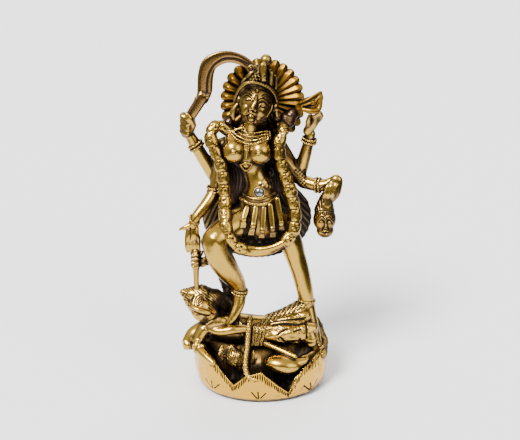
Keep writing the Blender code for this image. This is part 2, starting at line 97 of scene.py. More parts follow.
def boulder_top(x, y, share):
    """Height of the boulder's top at a place whose distance from the middle is a share of the outline's."""
    crest = np.interp(x, RIM_X, RIM_Z)
    mound = 34 - 8 * rise(y, 8, 43) - 3 * rise(np.abs(x), 38, 49)
    bank = crest + (mound - crest) * rise(1 - share, 0.25, 0.6)
    ground = mound + (bank - mound) * rise(-y, 4, 12)
    lip = 1.2 * np.exp(-(((1 - share) - 0.045) / 0.03) ** 2) * rise(-y, 6, 14)
    floor = 6.0 + 1.5 * np.sin(x * 0.5) * np.sin(y * 0.6)
    return ground + lip + (floor - ground) * np.clip(hollow_share(x, y, share), 0, 1)


def ripples(points, size, seed, waves=6):
    """Smooth unevenness of about -1 to 1: the sum of plane waves of about one length in mixed directions."""
    rng = np.random.default_rng(seed)
    total = np.zeros(len(points))
    for _ in range(waves):
        direction = rng.normal(size=3)
        direction *= 2 * math.pi / (size * rng.uniform(0.7, 1.4) * np.linalg.norm(direction))
        total += np.sin(points @ direction + rng.uniform(0, 2 * math.pi))
    return total / 3.2


def shell(points, rings, sides):
    """A closed shell: rings of points, quads between them and one face over each end."""
    r, s = np.meshgrid(np.arange(rings - 1) * sides, np.arange(sides), indexing="ij")
    after = (s + 1) % sides
    quads = np.stack([r + s, r + after, r + sides + after, r + sides + s], -1).reshape(-1, 4)
    ends = [list(range(sides))[::-1], list(range((rings - 1) * sides, rings * sides))]
    return np.asarray(points, float), quads.tolist() + ends


def mesh_of(name, shells):
    """One mesh of several shells, in millimetres."""
    faces, points, count = [], [], 0
    for more_points, more_faces in shells:
        points.append(more_points)
        faces += [[index + count for index in face] for face in more_faces]
        count += len(more_points)
    mesh = bpy.data.meshes.new(name)
    mesh.from_pydata(np.concatenate(points).tolist(), [], faces)
    return mesh


def read_points(mesh):
    points = np.empty(len(mesh.vertices) * 3)
    mesh.vertices.foreach_get("co", points)
    return points.reshape(-1, 3)


def read_normals(mesh):
    normals = np.empty(len(mesh.vertices) * 3)
    mesh.vertex_normals.foreach_get("vector", normals)
    return normals.reshape(-1, 3)


def write_points(mesh, points):
    mesh.vertices.foreach_set("co", np.ascontiguousarray(points, np.float32).ravel())
    mesh.update()


def neighbour_mean(mesh, points, rounds):
    """Every point moved, so many times over, to the mean of its neighbours along the edges."""
    ends = np.empty(len(mesh.edges) * 2, np.int64)
    mesh.edges.foreach_get("vertices", ends)
    a, b = ends.reshape(-1, 2).T
    count = len(points)
    share = np.bincount(a, minlength=count) + np.bincount(b, minlength=count)
    for _ in range(rounds):
        sums = [np.bincount(a, column[b], count) + np.bincount(b, column[a], count) for column in points.T]
        points = np.stack(sums, -1) / np.maximum(share, 1)[:, None]
    return points


def near_lines(points, lines, width):
    """exp(-(d / width)^2), with d each point's distance to the nearest of the lines, in 2 or 3 dimensions."""
    result = np.zeros(len(points))
    order = np.argsort(points[:, -1])
    heights = points[order, -1]
    for line in lines:
        for a, b in zip(np.asarray(line[:-1], float), np.asarray(line[1:], float)):
            low, high = np.minimum(a, b) - 2.5 * width, np.maximum(a, b) + 2.5 * width
            band = order[np.searchsorted(heights, low[-1]) : np.searchsorted(heights, high[-1])]
            band = band[((points[band] > low) & (points[band] < high)).all(1)]
            run = b - a
            along = np.clip(((points[band] - a) @ run) / max(run @ run, 1e-9), 0, 1)
            gap = np.linalg.norm(points[band] - a - along[:, None] * run, axis=1)
            result[band] = np.maximum(result[band], np.exp(-((gap / width) ** 2)))
    return result


def engrave(mesh, depth, cut):
    """Sinks the skin along its normals by depth where cut is 1."""
    write_points(mesh, read_points(mesh) - read_normals(mesh) * (depth * cut)[:, None])


def placed(name, data):
    """A new object that shows the data, in the scene."""
    thing = bpy.data.objects.new(name, data)
    bpy.context.scene.collection.objects.link(thing)
    return thing


def cast_piece(name, mesh, material, stain_and_shade=None):
    """Finishes a mesh in millimetres as a piece in metres, with what the patina reads stored at its points.

    hollow is above 0 in a recess and below 0 on a ridge: how far the mean of the points around stands out.
    turned is 1 where the skin faces away from the upper left front, where the key light comes from; it paints
    shade on the sides turned from the light.
    stain_and_shade is 1 where a cut line holds dirt, and also carries painted shade in the rock's hollows and
    under the figures.
    """
    painted_light_from = (-0.30, -0.82, 0.49)
    points, normals = read_points(mesh), read_normals(mesh)
    near = ((neighbour_mean(mesh, points, rounds=4) - points) * normals).sum(1)
    wide = ((neighbour_mean(mesh, points, rounds=24) - points) * normals).sum(1)
    # Painted shade: turned darkens the skin as it faces away from the key light at the upper left front.
    turned = 1 - rise(normals @ painted_light_from, 0.05, 0.97)
    hollow = np.clip(near * 6 + wide * 1.6, -0.45, 1.2)
    for label, values in (("hollow", hollow), ("turned", turned), ("stain_and_shade", stain_and_shade)):
        layer = mesh.attributes.new(label, "FLOAT", "POINT")
        if values is not None:
            layer.data.foreach_set("value", np.ascontiguousarray(values, np.float32))
    write_points(mesh, points * MM)
    mesh.shade_smooth()
    mesh.materials.append(material)
    return placed(name, mesh)


def part_of_casting(piece):
    """Says that the piece is one with the casting: it rides on its body and stands for its solid."""
    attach(piece, "root")
    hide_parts("kali_statue")


def antique_brass(name, polish, patina=0.0, shine=0.21):
    """Cast brass, blackened all over and then rubbed bright where a hand reaches.

    The dark share grows with how closed in a place is, with its hollow and stain_and_shade attributes, with
    its turned attribute, which paints shade on the sides turned away from the key light, with blotches of
    noise and with the piece's own patina. It turns the rubbed brass to brown and then to black, and makes it
    rougher.
    """
    material = bpy.data.materials.new(name)
    material.use_nodes = True
    nodes, links = material.node_tree.nodes, material.node_tree.links
    shader = nodes["Principled BSDF"]

    def node(kind, **values):
        made = nodes.new(kind)
        for key, value in values.items():
            if key in made.inputs.keys():
                made.inputs[key].default_value = value
            else:
                setattr(made, key, value)
        return made

    def plus(first, second, scale):
        """first + second x scale, where first is a number or another node's output."""
        made = node("ShaderNodeMath", operation="MULTIPLY_ADD")
        links.new(second, made.inputs[0])
        made.inputs[1].default_value = scale
        if isinstance(first, float):
            made.inputs[2].default_value = first
        else:
            links.new(first, made.inputs[2])
        return made.outputs[0]

    def ranged(value, low, high, first, last):
        """value's share of the way from low to high, as a number from first to last."""
        made = node("ShaderNodeMapRange")
        links.new(value, made.inputs["Value"])
        for key, number in (("From Min", low), ("From Max", high), ("To Min", first), ("To Max", last)):
            made.inputs[key].default_value = number
        return made.outputs["Result"]

    where = node("ShaderNodeTexCoord").outputs["Object"]
    near = node("ShaderNodeAmbientOcclusion", samples=12, Distance=0.0040).outputs["AO"]
    wide = node("ShaderNodeAmbientOcclusion", samples=12, Distance=0.0150).outputs["AO"]
    hollow = node("ShaderNodeAttribute", attribute_name="hollow").outputs["Fac"]
    turned = node("ShaderNodeAttribute", attribute_name="turned").outputs["Fac"]
    stain_and_shade = node("ShaderNodeAttribute", attribute_name="stain_and_shade").outputs["Fac"]
    blotch = node("ShaderNodeTexNoise", Scale=210.0, Detail=6.0, Roughness=0.62)
    grain = node("ShaderNodeTexNoise", Scale=1700.0, Detail=3.0, Roughness=0.55)
    links.new(where, blotch.inputs["Vector"])
    links.new(where, grain.inputs["Vector"])
    dark = 1.38 + patina
    # turned adds painted shade on the sides away from the key light; stain_and_shade adds dirt in cut lines
    # and painted shade.
    closed_in = ((near, -1.15), (wide, -0.75), (hollow, 0.55), (turned, 0.60), (stain_and_shade, 0.95))
    for cause, share in (*closed_in, (blotch.outputs["Fac"], 0.95), (grain.outputs["Fac"], 0.20)):
        dark = plus(dark, cause, share)
    tone = node("ShaderNodeValToRGB")
    links.new(ranged(dark, 0.0, 1.4, 0.0, 1.0), tone.inputs["Fac"])
    ramp = tone.color_ramp.elements
    brown = np.array(polish) * (0.42, 0.42, 1.05)
    stops = ((0.10, polish), (0.36, brown), (0.60, brown * 0.36), (0.90, (0.020, 0.015, 0.009)))
    while len(ramp) < len(stops):
        ramp.new(0.5)
    for element, (place, colour) in zip(ramp, stops):
        element.position = place
        element.color = (*colour, 1)
    links.new(tone.outputs["Color"], shader.inputs["Base Color"])
    links.new(ranged(dark, 0.2, 1.2, shine, 0.55), shader.inputs["Roughness"])
    shader.inputs["Metallic"].default_value = 1.0
    bump = node("ShaderNodeBump", Strength=0.22, Distance=0.0003)
    links.new(plus(grain.outputs["Fac"], blotch.outputs["Fac"], 0.8), bump.inputs["Height"])
    links.new(bump.outputs["Normal"], shader.inputs["Normal"])
    return material


rubbed_brass = antique_brass("rubbed_brass", (0.62, 0.35, 0.038), patina=-0.34)


def boulder():
    """The boulder as closed rings: underside, wall to the rim, then the top with its hollows.

    The columns crowd towards the front, where the strokes are: angle = s - 0.55 sin s from the front.
    """
    columns, wall_rows, top_rows = 570, 34, 40
    s = np.arange(columns) * 2 * math.pi / columns
    angle = s - 0.55 * np.sin(s) - math.pi / 2
    oval = np.stack([np.cos(angle) * BASE_HALF_WIDTH, np.sin(angle) * BASE_HALF_DEPTH], -1)
    oval *= oval_reach(angle)[:, None]
    rows = [np.column_stack([oval * share, np.zeros(columns)]) for share in (0.3, 0.6, 0.87)]
    painted_shade = [np.zeros(columns)] * (3 + wall_rows)
    rim_share = 0.965
    rim = boulder_top(oval[:, 0] * rim_share, oval[:, 1] * rim_share, rim_share)
    for share in np.linspace(0.012, 1, wall_rows):
        height = rim * share
        rows.append(np.column_stack([oval * np.minimum(wall_spread(height), 1)[:, None], height]))
    edge_spread = wall_spread(rim)
    for step in np.concatenate([np.linspace(0.005, 0.36, top_rows - 12), np.linspace(0.4, 0.97, 12)]):
        share = edge_spread * (1 - step)
        x, y = (oval * share[:, None]).T
        share = share * rim_share / edge_spread
        rows.append(np.column_stack([x, y, boulder_top(x, y, share)]))
        # Painted shade: black in the two hollows and darker over the top behind the rim, under the figures.
        painted_shade.append(np.maximum(rise(hollow_share(x, y, share), 0.1, 0.6), 0.7 * rise(1 - share, 0.08, 0.16)))
    return shell(np.concatenate(rows), len(rows), columns), np.concatenate(painted_shade)


def wall_place(x, height):
    """The point of the front wall at x and a height: y = -half depth x (1 - |x / half width|^n)^(1/n)."""
    spread = wall_spread(height)
    share = min(abs(x) / (BASE_HALF_WIDTH * spread), 0.99)
    y = -BASE_HALF_DEPTH * spread * (1 - share**BASE_ROUNDNESS) ** (1 / BASE_ROUNDNESS)
    return np.array((x, y, height))


boulder_shell, pocket_and_top_shade = boulder()
rock_mesh = mesh_of("rock_base", [boulder_shell])
grass_rng = np.random.default_rng(7)
turf = []
TURF_STEP, STROKE_WIDTH = 1.65, 0.45
for x in np.arange(-37, 45, TURF_STEP):
    crest = np.interp(x, RIM_X, RIM_Z)
    slope = np.interp(x + 1, RIM_X, RIM_Z) - np.interp(x - 1, RIM_X, RIM_Z)
    lean = -0.35 * slope + grass_rng.uniform(-0.5, 0.5)
    foot = wall_place(x + lean, max(crest - grass_rng.uniform(3.0, 4.8), 2))
    turf.append((wall_place(x, crest - 0.2) + (0, 3.2, 0.8), wall_place(x, crest - 0.2), foot))
# Strokes on the bank at the right, then the three tufts
for x in (33.5, 35.8, 38.0, 40.4, 42.6):
    turf.append((wall_place(x, 29 - 0.2 * abs(x - 38)), wall_place(x + grass_rng.uniform(-0.5, 0.5), 22.5)))
for x, height in ((-35.6, 9.5), (-1.4, 7.0), (37.0, 8.0)):
    for lean, length in ((-5.4, 5.5), (-0.8, 6.5), (4.8, 5.0)):
        foot = wall_place(x + lean * 0.25, height - length / 2)
        turf.append((foot, wall_place(x + lean, height + length / 2)))
rock_points = read_points(rock_mesh)
turf_cut = near_lines(rock_points, turf, STROKE_WIDTH)
swell = 0.50 * ripples(rock_points, size=17, seed=3) + 0.10 * ripples(rock_points, size=6, seed=4)
swell *= rise(rock_points[:, 2], 0.3, 5)  # the foot stays flat
engrave(rock_mesh, depth=1.0, cut=0.85 * turf_cut - swell)
rock_base = cast_piece("rock_base", rock_mesh, rubbed_brass, np.maximum(turf_cut, pocket_and_top_shade * 1.4))
part_of_casting(rock_base)

# Rock ledges: the boulder climbs behind the reclining figure and under the goddess's back foot. They are
# one with the rock, left rough from the mould and hardly rubbed.


def curve_through(stations, steps):
    """A Catmull-Rom curve through rows of numbers, a cubic between each two, as whole arrays."""
    rows = np.asarray(stations, float)
    padded = np.vstack([2 * rows[0] - rows[1], rows, 2 * rows[-1] - rows[-2]])
    a, b, c, d = (padded[i : i + len(rows) - 1, None, :] for i in range(4))
    t = (np.arange(steps) / steps)[None, :, None]
    cubic = 0.5 * (2 * b + (c - a) * t + (2 * a - 5 * b + 4 * c - d) * t**2 + (3 * b - a - 3 * c + d) * t**3)
    return np.vstack([cubic.reshape(-1, rows.shape[1]), rows[-1:]])


def run_length(path):
    """The length along a path up to each of its points: the running sum of its steps."""
    return np.concatenate([[0], np.cumsum(np.linalg.norm(np.diff(path, axis=0), axis=1))])


def bar(stations, sides=20, steps=7, thin=1.0, across=(0, 1, 0), boxy=1.0, pattern=None):
    """A rounded bar along a curve through stations of x, y, z and radius.

    Each ring is cos and sin of its angle, raised to boxy, times the radius, and thin times as deep
    along across. pattern(length along, angle) is added to the radius. Half balls close the ends.
    """
    path = curve_through(stations, steps)
    centre, radius = path[:, :3], np.maximum(path[:, 3], 0.15)
    ahead = np.gradient(centre, axis=0)
    ahead /= np.linalg.norm(ahead, axis=1)[:, None]
    out, size = np.array((1.0, 0.87, 0.5)), np.array((0.12, 0.5, 0.87))
    first = centre[0] - ahead[0] * radius[0] * out[:, None]
    last = centre[-1] + ahead[-1] * radius[-1] * out[::-1, None]
    centre = np.vstack([first, centre, last])
    ahead = np.vstack([ahead[:1].repeat(3, 0), ahead, ahead[-1:].repeat(3, 0)])
    radius = np.concatenate([radius[0] * size, radius, radius[-1] * size[::-1]])
    across = np.asarray(across, float)
    deep = across - ahead * (ahead @ across)[:, None]
    weak = np.linalg.norm(deep, axis=1) < 0.2
    deep[weak] = np.cross(ahead[weak], (1.0, 0.0, 0.0))
    deep /= np.linalg.norm(deep, axis=1)[:, None]
    side = np.cross(deep, ahead)
    angle = np.arange(sides) * 2 * math.pi / sides
    cos = np.sign(np.cos(angle)) * np.abs(np.cos(angle)) ** boxy
    sin = np.sign(np.sin(angle)) * np.abs(np.sin(angle)) ** boxy * thin
    reach = np.repeat(radius[:, None], sides, 1)
    if pattern is not None:
        reach = reach + pattern(run_length(centre)[:, None], angle[None, :])
    ring = (cos * reach)[..., None] * side[:, None] + (sin * reach)[..., None] * deep[:, None]
    return shell((centre[:, None] + ring).reshape(-1, 3), len(centre), sides)


def fused(name, shells, grid, rounds=3):
    """One closed skin round overlapping shells: a grid of cells is laid over them, and the skin relaxed."""
    rough = placed(name + "_rough", mesh_of(name + "_rough", shells))
    cells = rough.modifiers.new("cells", "REMESH")
    cells.mode = "VOXEL"
    cells.voxel_size = grid
    depsgraph = bpy.context.evaluated_depsgraph_get()
    mesh = bpy.data.meshes.new_from_object(rough.evaluated_get(depsgraph))
    mesh.name = name
    bpy.data.objects.remove(rough)
    write_points(mesh, neighbour_mean(mesh, read_points(mesh), rounds))
    return mesh


dull_brass = antique_brass("dull_brass", (0.38, 0.235, 0.040), patina=0.22, shine=0.30)
ledge_shells = [
    bar([(-40, 0, 34, 9), (-30, 4, 36, 10), (0, 8, 36, 11), (24, 8, 36, 11)], sides=40),
    bar([(36, 6, 49, 5), (40, 5, 42, 6.5), (42, 2, 30, 8)], sides=32),
    bar([(45, 1, 38, 4), (47, -4, 30, 4), (46, -14, 27, 4)]),
]
ledge_mesh = fused("rock_ledges", ledge_shells, grid=0.95)
ledge_points = read_points(ledge_mesh)
ledge_lumps = 0.5 * ripples(ledge_points, size=9, seed=21) + 0.3 * ripples(ledge_points, size=3.5, seed=22)
engrave(ledge_mesh, depth=1.0, cut=ledge_lumps)
rock_ledges = cast_piece("rock_ledges", ledge_mesh, dull_brass)
part_of_casting(rock_ledges)

# Reclining god: lies across the rock with the head to the left, propped on one arm, and takes the weight
# of the goddess's foot on the chest. Cast in one with the rock; hair, eyes and fingers were cut in the wax.
EYE_LEAN = math.radians(19)
EYE_DISTANCE = 720.0
EYE_AIM = np.array((-0.7, 0.0, 128.0))
AHEAD = np.array((0, math.cos(EYE_LEAN), -math.sin(EYE_LEAN)))
UP = np.array((0, math.sin(EYE_LEAN), math.cos(EYE_LEAN)))
EYE = EYE_AIM - AHEAD * EYE_DISTANCE


def in_picture(points):
    """Where an eye in front sees points: millimetres across and up at the statue's middle.

    The eye is 720 mm away and looks 19 degrees down. Both numbers are distance x offset / depth.
    """
    away = points - EYE
    return np.column_stack([away[:, 0], away @ UP]) * (EYE_DISTANCE / (away @ AHEAD))[:, None]


def seen_at(across, up, y):
    """The place at depth y that the eye sees so many millimetres across and up."""
    sight = AHEAD * EYE_DISTANCE + UP * up + (across, 0, 0)
    return EYE + sight * (y - EYE[1]) / sight[1]


def tree_of(mesh):
    """The mesh's faces, sorted so that a line of sight finds the one it meets."""
    return BVHTree.FromPolygons([v.co for v in mesh.vertices], [p.vertices for p in mesh.polygons])


def touched(tree, line, lift=0.0, depth=0.0):
    """Places on the skin where the eye sees each point of a line, moved out by lift.

    Where the sight passes the skin, it is the skin's nearest place to the sight's own place at a depth.
    """
    places = []
    for across, up in line:
        sight = Vector(AHEAD * EYE_DISTANCE + UP * up + (across, 0, 0)).normalized()
        place, normal = tree.ray_cast(Vector(EYE), sight)[:2]
        if place is None:
            place, normal = tree.find_nearest(Vector(seen_at(across, up, depth)))[:2]
        places.append(np.array(place + normal * lift))
    return places


def seen_bar(stations, **form):
    """A bar through stations of across, up, depth and radius, placed as the eye sees them."""
    return bar([(*seen_at(across, up, y), radius) for across, up, y, radius in stations], **form)


def facing(mesh, low=0.0):
    """1 where the skin faces the eye and 0 where it turns away: its normal's share against the sight."""
    return rise(-(read_normals(mesh) @ AHEAD), low, 0.3)


def picture_cut(mesh, lines, width):
    """1 on lines drawn as the eye sees them, on the skin that faces it, fading as exp(-(d / width)^2)."""
    return near_lines(in_picture(read_points(mesh)), lines, width) * facing(mesh, 0.05)


def turning(degrees):
    """The matrix that turns a point by degrees about X, then Y, then Z."""
    return np.array(Euler([math.radians(a) for a in degrees]).to_matrix())


def round_rings(width, height, sides):
    """Rings about Z as one list of points: (width cos a, width sin a, height), with a at equal steps."""
    angle = np.arange(sides) * 2 * math.pi / sides
    across, deep = np.outer(width, np.cos(angle)), np.outer(width, np.sin(angle))
    return np.stack([across, deep, np.outer(height, np.ones(sides))], -1).reshape(-1, 3)


def egg(centre, radii, turn=(0, 0, 0), sides=32, rings=22):
    """A ball of three radii, turned by degrees about X, Y and Z: rings at equal steps from pole to pole."""
    lean = math.pi * (np.arange(rings) + 0.5) / rings
    ball = round_rings(np.sin(lean), -np.cos(lean), sides)
    return shell(ball * np.asarray(radii) @ turning(turn).T + np.asarray(centre), rings, sides)


def bars_on(tree, lines, radius, lift=0.0, **form):
    """A bar of one radius along each line that the eye sees on the skin."""
    return [bar([(*place, radius) for place in touched(tree, line, lift)], **form) for line in lines]


def hatch(across, along, spacing, length, seed):
    """Broken parallel cuts, 0 to 1: every stripe of width spacing holds a groove in dashes of one length.

    Each stripe's dashes start at an offset of their own, and the stripes waver a little along their run.
    """
    waver = 0.25 * np.sin(along / length * 2.1 + across * 0.3)
    stripe = across / spacing + waver
    number = np.floor(stripe)
    start = np.modf(np.abs(np.sin(number * 12.9898 + seed) * 43758.5453))[0]
    dash = np.modf(np.abs(along / length + start + 1000))[0]
    groove = np.exp(-(((stripe - number - 0.5) / 0.24) ** 2))
    return groove * rise(dash, 0.02, 0.16) * rise(1 - dash, 0.02, 0.2)


def within(values, low, high):
    """True where values lie between low and high."""
    return (values > low) & (values < high)


god_body = [
    bar([(-31, -9, 47, 10.2), (-18, -8, 46, 11.2), (0, -5, 44, 10), (12, -4, 42, 11)], sides=32, thin=0.95),
    bar([(-33, -11, 50, 6.4), (-38, -13, 58, 5.4)]),
    # Propped arm, with its elbow out and the fist on the rim, then the other hand and the arm on the chest
    seen_bar([(-41.5, -78.0, -12, 5.4), (-48.0, -83.0, -13, 5.8), (-52.2, -88.4, -15, 4.8)]),
    egg(seen_at(-52.0, -90.4, -17), (4.4, 4.0, 3.9)),
    seen_bar([(-40.5, -79.0, -16, 4.8), (-44.2, -85.0, -18, 4.2), (-45.4, -89.0, -20, 3.6)]),
    egg(seen_at(-44.8, -92.4, -22), (4.8, 3.8, 3.8)),
    seen_bar([(-43.0, -95.0, -25, 3.6), (-38.6, -99.4, -30, 3.4), (-34.0, -103.6, -35, 2.4)]),
    bar([(-38, -15, 49.5, 4.4), (-31, -20, 48.6, 3.8), (-21, -21.5, 50.5, 3.6), (-12, -19, 50, 3.2)]),
    egg((-42.5, -15, 65), (9.4, 9.6, 12), (0, -42, 0), sides=40, rings=30),
    egg((-41, -9, 70), (13, 9, 9), (0, 10, 0), sides=40, rings=30),
    bar([(-44, -11, 74, 8), (-51, -12, 75, 5.8), (-56.5, -12, 76, 3.2)]),
    bar([(-34, -7, 70, 7), (-28, -4, 63, 6.5), (-24, -1, 56, 6)]),
    seen_bar(
        [
            (-55.0, -54.4, -12, 2.2),
            (-51.8, -59.8, -14, 3.0),
            (-48.7, -64.8, -15, 3.0),
            (-45.4, -70.2, -16, 2.6),
        ]
    ),
    egg(seen_at(-30.5, -66.5, -5), (6.0, 5.0, 6.0)),
    egg(seen_at(-31.5, -75.0, -17), (9.0, 4.0, 5.4), (0, -12, 0)),
    # Folded leg at the front, with its foot, and the staff that crosses it
    egg((16.6, -27, 25.6), (14.4, 9, 7.2), (0, 8, 0), sides=48, rings=32),
    bar([(25, -27, 25.5, 5.4), (31.5, -26, 27, 3.6), (33.5, -25, 28.5, 2.6)]),
    seen_bar([(-1.0, -87.6, -14, 2.6), (10.8, -92.6, -22, 2.0), (25.7, -99.3, -30, 1.6)]),
]
for finger in range(4):
    fist = 1.9 * finger
    god_body.append(seen_bar([(-54.4 + fist, -88.6, -18, 1.5), (-54.6 + fist, -93.2, -18.5, 1.3)]))
    knuckle, tip = -48.2 + 2.1 * finger, -47.0 + 2.2 * finger
    god_body.append(seen_bar([(knuckle, -91.0, -24, 1.5), (tip, -95.8, -25, 1.3)]))
plain_god = fused("plain_god", god_body, grid=0.9)
god_tree = tree_of(plain_god)
bpy.data.meshes.remove(plain_god)
EYE_PLACE = np.array((-43.7, -58.9))


def round_eye(long, short, start=0, end=360):
    """Part of an ellipse round the closed eye, which leans: middle + long cos a + short sin a."""
    angle = np.radians(np.linspace(start, end, 13))[:, None]
    return EYE_PLACE + long * np.cos(angle) * (0.60, 0.80) + short * np.sin(angle) * (0.80, -0.60)


nose_ridge = ((-49.6, -63.0), (-46.0, -64.8), (-41.5, -66.2), (-37.2, -67.4))
lips = ((-48.6, -67.8), (-46.4, -70.4), (-44.0, -72.6))
eye_folds = [round_eye(2.9, 1.6), round_eye(4.4, 3.0, 170, 380), round_eye(5.6, 4.4, 200, 350)]
long_string = ((-38.8, -75.8), (-34.2, -72.9), (-26.0, -67.8))
short_string = ((-37.6, -73.4), (-33.4, -70.6), (-27.6, -66.6))
bracelet = ((-49.2, -87.4), (-45.6, -88.6), (-42.4, -87.2))
god_face = bars_on(god_tree, [nose_ridge], radius=1.7, lift=0.3)
god_face += bars_on(god_tree, [lips], radius=1.1, lift=0.2)
god_face.append(egg(touched(god_tree, [EYE_PLACE], -0.3)[0], (0.9, 1.0, 2.0), (0, 37, 0)))
god_face += bars_on(god_tree, eye_folds, radius=0.36, lift=0.15, steps=3)
god_face += bars_on(god_tree, [long_string], radius=0.75, lift=0.3)
god_face += bars_on(god_tree, [short_string], radius=0.65, lift=0.3)
god_face += bars_on(god_tree, [bracelet], radius=0.8, lift=0.3)
god_mesh = fused("reclining_god", god_body + god_face, grid=0.55, rounds=2)
god_points = read_points(god_mesh)
god_seen = in_picture(god_points)
is_head = rise(god_points[:, 2], 56, 58) * rise(-god_points[:, 0], 22, 26)
over_head = (god_seen + (46.0, 58.0)) @ (0.645, 0.766)
along_head = god_seen @ (0.766, -0.645)
hair = np.maximum(rise(over_head, 2.4, 3.6), rise(-god_seen[:, 0], 50.5, 51.5)) * is_head
locks = hatch(over_head, along_head, spacing=1.6, length=9.0, seed=5) * hair
god_lines = [
    round_eye(2.1, 1.0),
    round_eye(3.7, 2.3),
    round_eye(5.0, 3.7, 190, 350),
    ((-37.6, -58.6), (-36.2, -60.6)),
    ((-37.2, -61.2), (-35.4, -63.0)),
    ((-37.0, -63.8), (-35.2, -65.4)),
    ((-47.4, -66.6), (-43.0, -68.6), (-39.6, -69.6), (-36.8, -69.6)),
    ((-38.6, -74.6), (-33.8, -71.8), (-26.8, -67.2)),
    ((-35.6, -67.2), (-33.6, -68.4)),
    ((-49.8, -58.6), (-48.2, -54.8)),
    ((-54.6, -56.0), (-52.8, -52.4)),
    ((-56.4, -55.2), (-55.2, -53.2)),
]
god_cut = np.maximum(picture_cut(god_mesh, god_lines, width=0.40), locks * 0.8)
between_ribs = within(god_points[:, 0], -38, -10) & (god_points[:, 1] > -19)
# Painted shade under the god's body, where it lies over the rock between x -38 and -10.
under_body_shade = rise(45.5 - god_points[:, 2], 0, 3) * between_ribs * rise(god_points[:, 2], 12, 16)
chest = within(god_seen[:, 0], -38, -22) & within(god_seen[:, 1], -79, -73) & (god_points[:, 1] > -19)
cloth = rise(np.sin(god_seen @ (2.0, 1.2)) * np.sin(god_seen @ (-1.1, 2.4)), 0.0, 0.7) * chest
god_cut = np.maximum(god_cut, cloth * 0.6)
engrave(god_mesh, depth=0.5, cut=god_cut)
polished_brass = antique_brass("polished_brass", (0.50, 0.305, 0.048))
god_stain_and_shade = np.maximum(np.maximum(god_cut, under_body_shade), 0.35 * hair * rise(over_head, 3, 8))
# Painted shade: dark spots at the eye's corner, beside the neck and under the nose
for across, up, wide, high in ((-39.7, -72.4, 2.6, 3.0), (-29.4, -61.5, 7.0, 6.0), (-44.6, -68.9, 2.6, 1.0)):
    inside = 1 - np.hypot((god_seen[:, 0] - across) / wide, (god_seen[:, 1] - up) / high)
    god_stain_and_shade = np.maximum(god_stain_and_shade, 0.8 * rise(inside, 0, 0.35))
reclining_god = cast_piece("reclining_god", god_mesh, polished_brass, god_stain_and_shade)
part_of_casting(reclining_god)

# Drums in the left hollow: a big and a small lump hang under the arm, with cut strands running down. A leaf
# cut in the same way lies along the right notch of the rim.
drum_shells = [
    bar([(-22.0, -19, 35, 3.4), (-19.2, -22.5, 28.5, 7.2), (-15.0, -24, 21, 4.2)], sides=32, thin=0.7),
    bar([(-29.0, -19, 36, 1.6), (-29.4, -22, 31, 2.6), (-28.8, -23, 25, 1.6)], thin=0.8),
    egg(seen_at(-5.0, -100.2, -29), (1.5, 1.5, 6.0), (0, 4, 0)),
    seen_bar([(21.9, -124.0, -37.6, 0.9), (26.0, -117.0, -36.0, 2.2), (30.8, -110.2, -33.6, 1.1)], thin=0.6),
]
drum_mesh = fused("drums", drum_shells, grid=0.42)
drum_points = read_points(drum_mesh)
drum_across = drum_points[:, 0] * (1 + (34 - drum_points[:, 2]) * 0.02)
drum_cut = hatch(drum_across, drum_points[:, 2], spacing=1.35, length=7.0, seed=2)
engrave(drum_mesh, depth=0.55, cut=drum_cut)
drums = cast_piece("drums", drum_mesh, polished_brass, drum_cut * 0.9)
part_of_casting(drums)

# Tiger skin: wrapped round the god's hips and thighs in thick folds, with a pebbled roll along its upper
# edge. Laid on in wax, with the fur cut in short strokes.
hide_shells = [
    bar([(6, -3, 44, 10), (20, -1, 51, 8.5), (33, 1, 60, 6.5)], sides=40),
    bar([(3, -10, 43.5, 8.4), (16, -12, 43.4, 8.6), (28, -12, 44.2, 8.2), (37, -10, 45.5, 6)], sides=48),
    bar([(4, -8, 49, 5), (18, -8, 50.5, 5.4), (33, -6, 54.5, 5)], sides=32),
    seen_bar(
        [(6.4, -72.6, -6, 2.4), (13.1, -69.8, -5, 3.2), (21.0, -67.0, -4, 3.4), (32.4, -62.0, -3, 3.4)],
        sides=24,
    ),
    seen_bar([(9.0, -74.6, -12.5, 1.5), (20.0, -74.0, -13.0, 1.3), (32.0, -73.6, -12.0, 1.4)]),
    egg(seen_at(36.6, -87.0, -15), (4.8, 4.0, 6.4), (0, 12, 0)),
]
hide_mesh = fused("tiger_skin", hide_shells, grid=0.54, rounds=4)
hide_points = read_points(hide_mesh)
hide_seen = in_picture(hide_points)
fold_lines = [
    ((8.0, -74.0), (14.0, -72.9), (24.0, -72.4), (33.0, -71.2)),
    ((9.0, -76.6), (17.0, -75.4), (27.0, -76.0), (33.0, -75.2)),
    ((12.8, -83.6), (15.2, -81.2), (19.8, -78.8)),
    ((14.6, -85.2), (16.8, -87.8), (19.8, -89.2)),
    ((24.4, -81.2), (29.6, -79.4)),
    ((29.0, -86.8), (30.3, -90.6)),
    ((33.2, -74.0), (34.4, -79.8), (34.0, -86.0)),
]
folds = picture_cut(hide_mesh, fold_lines, width=0.6)
creases = ripples(hide_points * (0.55, 1.0, 1.6), size=7.0, seed=51)
fur = hatch(hide_seen @ (0.50, 0.87), hide_seen @ (-0.87, 0.50), spacing=1.7, length=4.4, seed=9)
fur *= rise(np.sin(hide_seen[:, 0] * 0.5) + np.sin(hide_seen[:, 1] * 0.7 + 1), -0.6, 0.6)
fur *= rise(34 - hide_points[:, 0], 0, 4)
roll = rise(hide_seen[:, 1] - 0.36 * hide_seen[:, 0], -76.2, -75.4) * rise(34 - hide_points[:, 0], 0, 3)
pebbles = rise(-np.sin(hide_seen[:, 0] * 2.2 + hide_seen[:, 1]) * np.sin(hide_seen[:, 1] * 2.4), -0.1, 0.6)
hide_cut = np.maximum(folds, fur * (1 - roll) * 0.5 + roll * pebbles)
